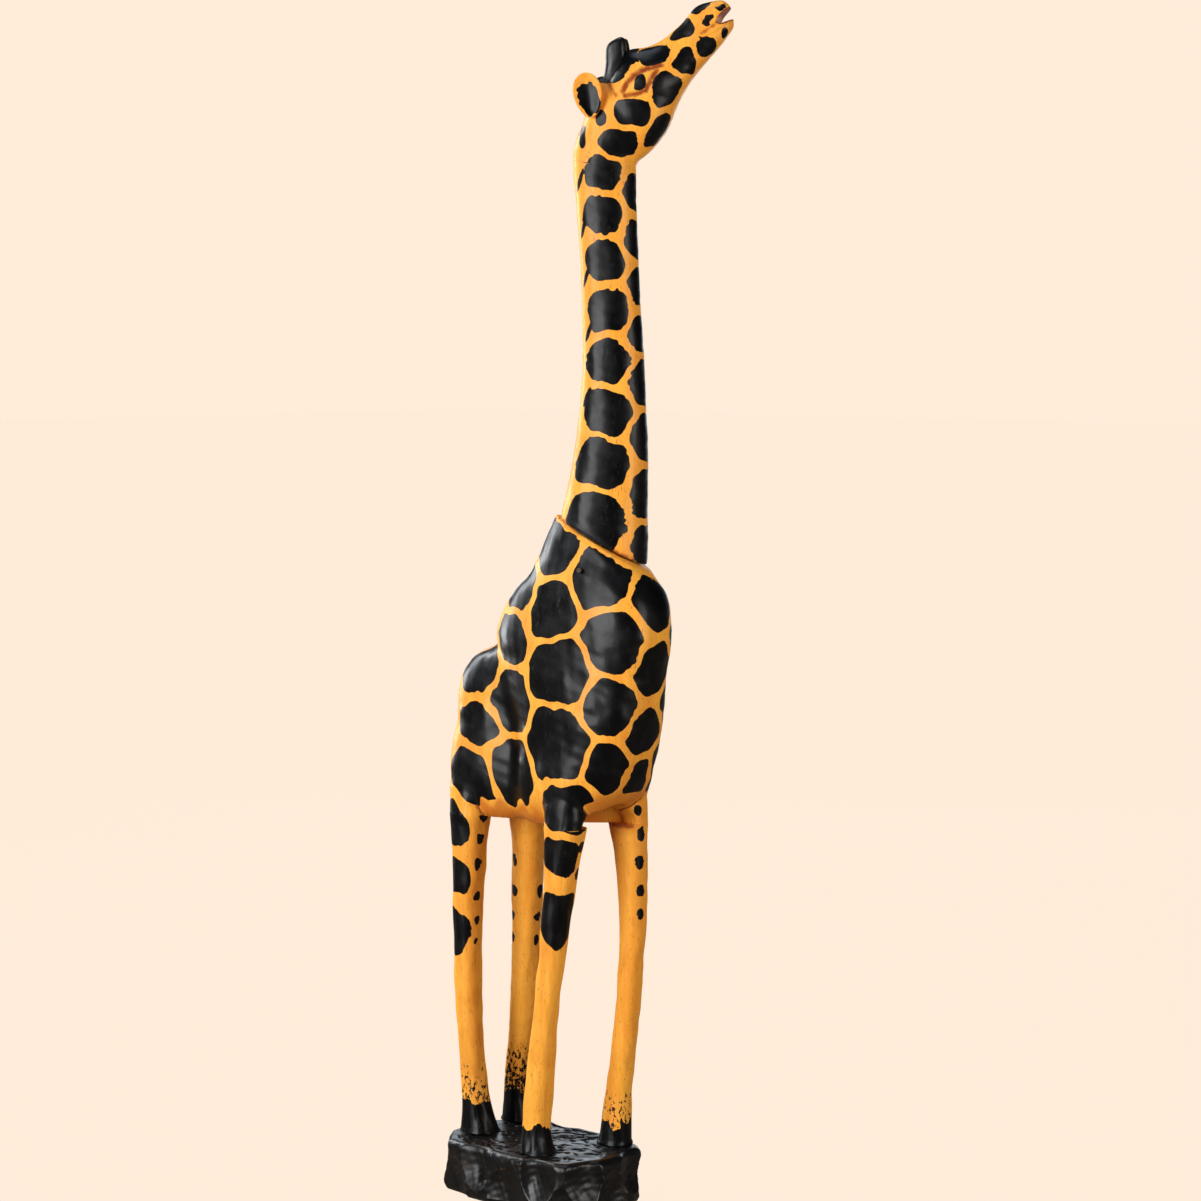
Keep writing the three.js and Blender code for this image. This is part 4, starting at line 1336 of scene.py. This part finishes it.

# the dyed wood's colours; the browner under colour is painted shade for the underside and between the legs
dyedWood = {
    "light": (244, 170, 60), "middle": (234, 150, 48), "deep": (214, 120, 36), "stain": (142, 62, 22),
    "under": (190, 100, 30), "paint": (3, 3, 4), "rubbedPaint": (70, 48, 34),
    "woodRough": 0.42, "paintRough": 0.33,
}


def startMaterial(name, coat=0.0, coatRough=0.1, base=None, rough=0.5, metal=0.0):
    # a new material with its plain constants set on the shader; returns its parts
    material = bpy.data.materials.new(name)
    material.use_nodes = True
    tree = material.node_tree
    skin = tree.nodes["Principled BSDF"]
    skin.inputs["Coat Weight"].default_value = coat
    skin.inputs["Coat Roughness"].default_value = coatRough
    skin.inputs["Roughness"].default_value = rough
    skin.inputs["Metallic"].default_value = metal
    if base:
        skin.inputs["Base Color"].default_value = colourOf(*base)
    place = tree.nodes.new("ShaderNodeTexCoord").outputs["Object"]
    return material, tree, skin, place


def readAttribute(tree, name):
    # a number painted on the mesh
    return addNode(tree, "Attribute", attribute_name=name).outputs["Fac"]


def makePaintedWood(name, ragged=0.3, scratched=0.7, cut=28.0):
    # dyed wood, deeper in patches, pores and stained places and browner where shade is painted, under black
    # spots, hooves and flecks
    material, tree, skin, place = startMaterial(name, coat=0.05, coatRough=0.1)
    skin.inputs["Specular IOR Level"].default_value = 0.18
    look = dyedWood
    dye = {key: colourOf(*value) for key, value in look.items() if isinstance(value, tuple)}
    grain = useGroup(tree, woodGrain, place, 1.0)
    edge = useGroup(tree, brushEdge, place, readAttribute(tree, "spotDepth"), ragged)
    worn = useGroup(tree, rubbed, place, scratched)
    fleck = useGroup(tree, flecks, place, readAttribute(tree, "spatter"))
    spatterOn = ramp(tree, readAttribute(tree, "spatter"), 0.01, 0.08)
    paint = calc(tree, "MAXIMUM", edge["mask"], times(tree, fleck["mask"], spatterOn))
    wood = mixColour(tree, ramp(tree, grain["tone"], 0.36, 0.64), dye["middle"], dye["light"])
    patchy = ramp(tree, noise(tree, place, 17.0, 3.0, 0.55), 0.5, 0.8)
    wood = mixColour(tree, times(tree, patchy, 0.5), wood, dye["deep"])
    # painted shade: the browner under colour where the painted shade share is set
    wood = mixColour(tree, times(tree, readAttribute(tree, "paintedShade"), 0.75), wood, dye["under"])
    wood = mixColour(tree, times(tree, grain["pores"], 0.55), wood, dye["stain"])
    stainNoise = ramp(tree, noise(tree, place, 160.0, 3.0, 0.6), 0.3, 0.7, 0.65, 1.1)
    stain = times(tree, readAttribute(tree, "stain"), stainNoise)
    wood = mixColour(tree, ramp(tree, stain, 0.12, 0.85), wood, dye["stain"])
    bare = calc(tree, "MAXIMUM", worn["bare"], times(tree, worn["scratches"], 0.45))
    black = mixColour(tree, times(tree, bare, 0.6), dye["paint"], dye["rubbedPaint"])
    join(tree, mixColour(tree, paint, wood, black), skin.inputs["Base Color"])
    smear = ramp(tree, noise(tree, place, 30.0, 3.0, 0.6), 0.3, 0.75, -0.05, 0.12)
    rough = calc(tree, "ADD", ramp(tree, paint, 0.0, 1.0, look["woodRough"], look["paintRough"]), smear)
    rough = calc(tree, "MULTIPLY_ADD", readAttribute(tree, "stain"), 0.45, rough)
    join(tree, rough, skin.inputs["Roughness"])
    film = times(tree, edge["film"], 0.10)
    fibre = times(tree, grain["fibre"], ramp(tree, paint, 0.0, 1.0, 0.16, 0.07))
    height = calc(tree, "ADD", film, fibre)
    height = calc(tree, "SUBTRACT", height, times(tree, grain["pores"], 0.06))
    height = calc(tree, "SUBTRACT", height, times(tree, worn["scratches"], 0.05))
    fine = bumpOf(tree, 0.9, height)
    carved = bumpOf(tree, 0.6, times(tree, useGroup(tree, handCut, place, cut)["height"], 0.6))
    join(tree, fine.outputs[0], carved.inputs["Normal"])
    join(tree, carved.outputs[0], skin.inputs["Normal"])
    return material


def makeBlackWood(name, coat, wearName=None, cut=40.0, rough=0.3):
    # black paint over brown wood: brown shows on ridges, in scratches and in small rubbed places
    material, tree, skin, place = startMaterial(name, coat=coat, coatRough=0.2)
    skin.inputs["Specular IOR Level"].default_value = 0.3
    grain = useGroup(tree, woodGrain, place, 1.3)
    worn = useGroup(tree, rubbed, place, 1.0)
    bare = calc(tree, "MAXIMUM", times(tree, worn["bare"], 0.55),
                times(tree, worn["scratches"], 0.4))
    if wearName:
        rub = ramp(tree, noise(tree, place, 34.0, 4.0, 0.7), 0.46, 0.7)
        ridge = times(tree, readAttribute(tree, wearName), rub)
        bare = calc(tree, "MAXIMUM", bare, ramp(tree, ridge, 0.18, 0.8))
    brown = mixColour(tree, grain["tone"], colourOf(62, 38, 20), colourOf(112, 74, 36))
    black = mixColour(tree, ramp(tree, noise(tree, place, 30.0, 4.0, 0.6), 0.3, 0.75),
                      colourOf(4, 4, 5), colourOf(13, 9, 6))
    join(tree, mixColour(tree, bare, black, brown), skin.inputs["Base Color"])
    smear = ramp(tree, noise(tree, place, 44.0, 4.0, 0.65), 0.3, 0.75, rough - 0.07, rough + 0.14)
    join(tree, smear, skin.inputs["Roughness"])
    height = calc(tree, "ADD", times(tree, grain["fibre"], 0.16),
                  times(tree, useGroup(tree, handCut, place, cut)["height"], 0.3))
    height = calc(tree, "SUBTRACT", height, times(tree, worn["scratches"], 0.06))
    bump = bumpOf(tree, 0.8, height)
    join(tree, bump.outputs[0], skin.inputs["Normal"])
    return material


def makeDowelWood(name, light, dark):
    # plain turned wood: streaks from end to end, a few pores, dry surface
    material, tree, skin, place = startMaterial(name, rough=0.55)
    grain = useGroup(tree, woodGrain, place, 1.6)
    wood = mixColour(tree, ramp(tree, grain["tone"], 0.35, 0.65), colourOf(*dark), colourOf(*light))
    wood = mixColour(tree, times(tree, grain["pores"], 0.5), wood, colourOf(88, 52, 26))
    join(tree, wood, skin.inputs["Base Color"])
    join(tree, ramp(tree, grain["fibre"], 0.3, 0.7, 0.48, 0.62), skin.inputs["Roughness"])
    bump = bumpOf(tree, 0.6, times(tree, grain["fibre"], 0.2))
    join(tree, bump.outputs[0], skin.inputs["Normal"])
    return material


def makeScrewSteel(name):
    # zinc-plated steel: brushed round, slightly clouded
    material, tree, skin, place = startMaterial(name, metal=1.0)
    cloud = noise(tree, place, 900.0, 4.0, 0.6)
    zinc = mixColour(tree, cloud, colourOf(120, 124, 128), colourOf(188, 190, 192))
    join(tree, zinc, skin.inputs["Base Color"])
    brushed = noise(tree, stretch(tree, place, (1.0, 1.0, 6.0)), 1500.0, 2.0)
    join(tree, ramp(tree, brushed, 0.3, 0.7, 0.24, 0.42), skin.inputs["Roughness"])
    bump = bumpOf(tree, 0.4, times(tree, brushed, 0.04))
    join(tree, bump.outputs[0], skin.inputs["Normal"])
    return material


finishes = {
    "painted_coat": makePaintedWood("paintedCoat"),
    "painted_leg": makePaintedWood("paintedLeg", ragged=0.34, scratched=1.0, cut=34.0),
    "painted_ear": makePaintedWood("paintedEar", ragged=0.2, scratched=0.5, cut=60.0),
    "tail_hair": makePaintedWood("tailHair", ragged=0.5, scratched=0.6, cut=60.0),
    "black_horn": makeBlackWood("blackHorn", coat=0.15, cut=70.0, rough=0.36),
    "black_block": makeBlackWood("blackBlock", coat=0.12, wearName="ridgeWear", cut=30.0, rough=0.36),
    "dowel_wood": makeDowelWood("dowelWood", (222, 186, 134), (196, 154, 102)),
    "peg_wood": makeDowelWood("pegWood", (62, 40, 24), (38, 24, 14)),
    "screw_steel": makeScrewSteel("screwSteel"),
}


def finishPiece(piece, name, node, slotName):
    # the piece's name, its one material, and what it rides, replaces and belongs to
    piece.name = name
    piece.data.name = name
    piece.data.materials.clear()
    piece.data.materials.append(finishes[slotName])
    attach(piece, "root")
    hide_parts(node)


finishPiece(body, "carvedBody", "body", "painted_coat")
finishPiece(neck, "carvedNeck", "neck", "painted_coat")
finishPiece(head, "carvedHead", "head", "painted_coat")
finishPiece(gougedBlock, "gougedBlock", "base_block", "black_block")
finishPiece(tail, "carvedTail", "tail", "tail_hair")
for node, piece in legPieces.items():
    finishPiece(piece, "carved_" + node, node, "painted_leg")
for node, piece in ears.items():
    finishPiece(piece, "carved_" + node, node, "painted_ear")
for node, piece in horns.items():
    finishPiece(piece, "carved_" + node, node, "black_horn")

inside = {"head_dowel": "dowel_wood", "neck_pin": "peg_wood"}
for node in frame["nodes"]:
    if node.endswith("_foot_screw"):
        inside[node] = "screw_steel"
for node, finish in inside.items():
    keeper = frame["nodes"][node]
    for holder in [keeper] if keeper.type == "MESH" else keeper.children_recursive:
        if holder.type == "MESH":
            for place in holder.material_slots:
                place.material = finishes[finish]
print("materials done")


# floor, camera and lights

floorMesh = bpy.data.meshes.new("floor")
floorMesh.from_pydata([(-30, -30, 0), (30, -30, 0), (30, 30, 0), (-30, 30, 0)], [], [(0, 1, 2, 3)])
floor = addPiece("floor", floorMesh)

studio = {
    "azimuth": 43.0, "elevation": 4.85, "distance": 3.9, "target": (0.037, 0.063, 0.75), "lens": 93.5,
    "pale": (255, 236, 217), "fill": 0.045, "fillColour": (0.86, 0.93, 1.0, 1.0),
    # [towards the camera, to its right, up, width, height, watts, colour]
    "lamps": {
        "window": [2.2, -2.6, 0.5, 1.9, 2.6, 148, (0.97, 0.98, 1.0)],
        "bounce": [2.4, 2.4, 0.3, 1.6, 2.4, 74, (1.0, 0.97, 0.92)],
        "edge": [-1.5, -1.9, 0.8, 0.6, 2.4, 62, (0.92, 0.96, 1.0)],
        "sky": [0.2, -0.2, 3.2, 2.2, 2.2, 44, (0.78, 0.89, 1.0)],
        "yard": [-3.4, 0.4, 0.1, 3.0, 1.2, 22, (0.84, 0.92, 1.0)],
    },
}

turn, rise = math.radians(studio["azimuth"]), math.radians(studio["elevation"])
back = Vector((math.sin(turn) * math.cos(rise), -math.cos(turn) * math.cos(rise), math.sin(rise)))
level = Vector((math.sin(turn), -math.cos(turn), 0))
right = Vector((math.cos(turn), math.sin(turn), 0))
target = Vector(studio["target"])

camera = bpy.data.objects.new("camera", bpy.data.cameras.new("camera"))
scene.collection.objects.link(camera)
scene.camera = camera
camera.location = target + back * studio["distance"]
camera.rotation_euler = (-back).to_track_quat("-Z", "Y").to_euler()
camera.data.sensor_width = 36
camera.data.lens = studio["lens"]

for name, (ahead, aside, up, width, height, watts, colour) in studio["lamps"].items():
    lamp = bpy.data.lights.new(name, "AREA")
    lamp.shape = "RECTANGLE"
    lamp.size, lamp.size_y, lamp.energy, lamp.color = width, height, watts, colour
    holder = bpy.data.objects.new(name, lamp)
    scene.collection.objects.link(holder)
    holder.location = target + level * ahead + right * aside + Vector((0, 0, up))
    holder.rotation_euler = (target - holder.location).to_track_quat("-Z", "Y").to_euler()

# the floor glows to the camera in the room's pale colour, so that it runs on into the backdrop
paleColour = colourOf(*studio["pale"])
floorPaint, floorTree, floorSkin, _ = startMaterial("paleFloor", base=(28, 26, 25), rough=0.95)
floorSkin.inputs["Specular IOR Level"].default_value = 0.0
floorSkin.inputs["Emission Color"].default_value = paleColour
seenFloor = addNode(floorTree, "LightPath").outputs["Is Camera Ray"]
join(floorTree, ramp(floorTree, seenFloor, 0.0, 1.0, 0.17, 0.99), floorSkin.inputs["Emission Strength"])
floorMesh.materials.append(floorPaint)

world = bpy.data.worlds.new("paleRoom")
world.use_nodes = True
scene.world = world
room = world.node_tree
seen = addNode(room, "LightPath").outputs["Is Camera Ray"]
glow = room.nodes["Background"]
join(room, mixColour(room, seen, studio["fillColour"], paleColour), glow.inputs["Color"])
join(room, ramp(room, seen, 0.0, 1.0, studio["fill"], 1.0), glow.inputs["Strength"])
scene.view_settings.view_transform = "Standard"
scene.view_settings.look = "None"
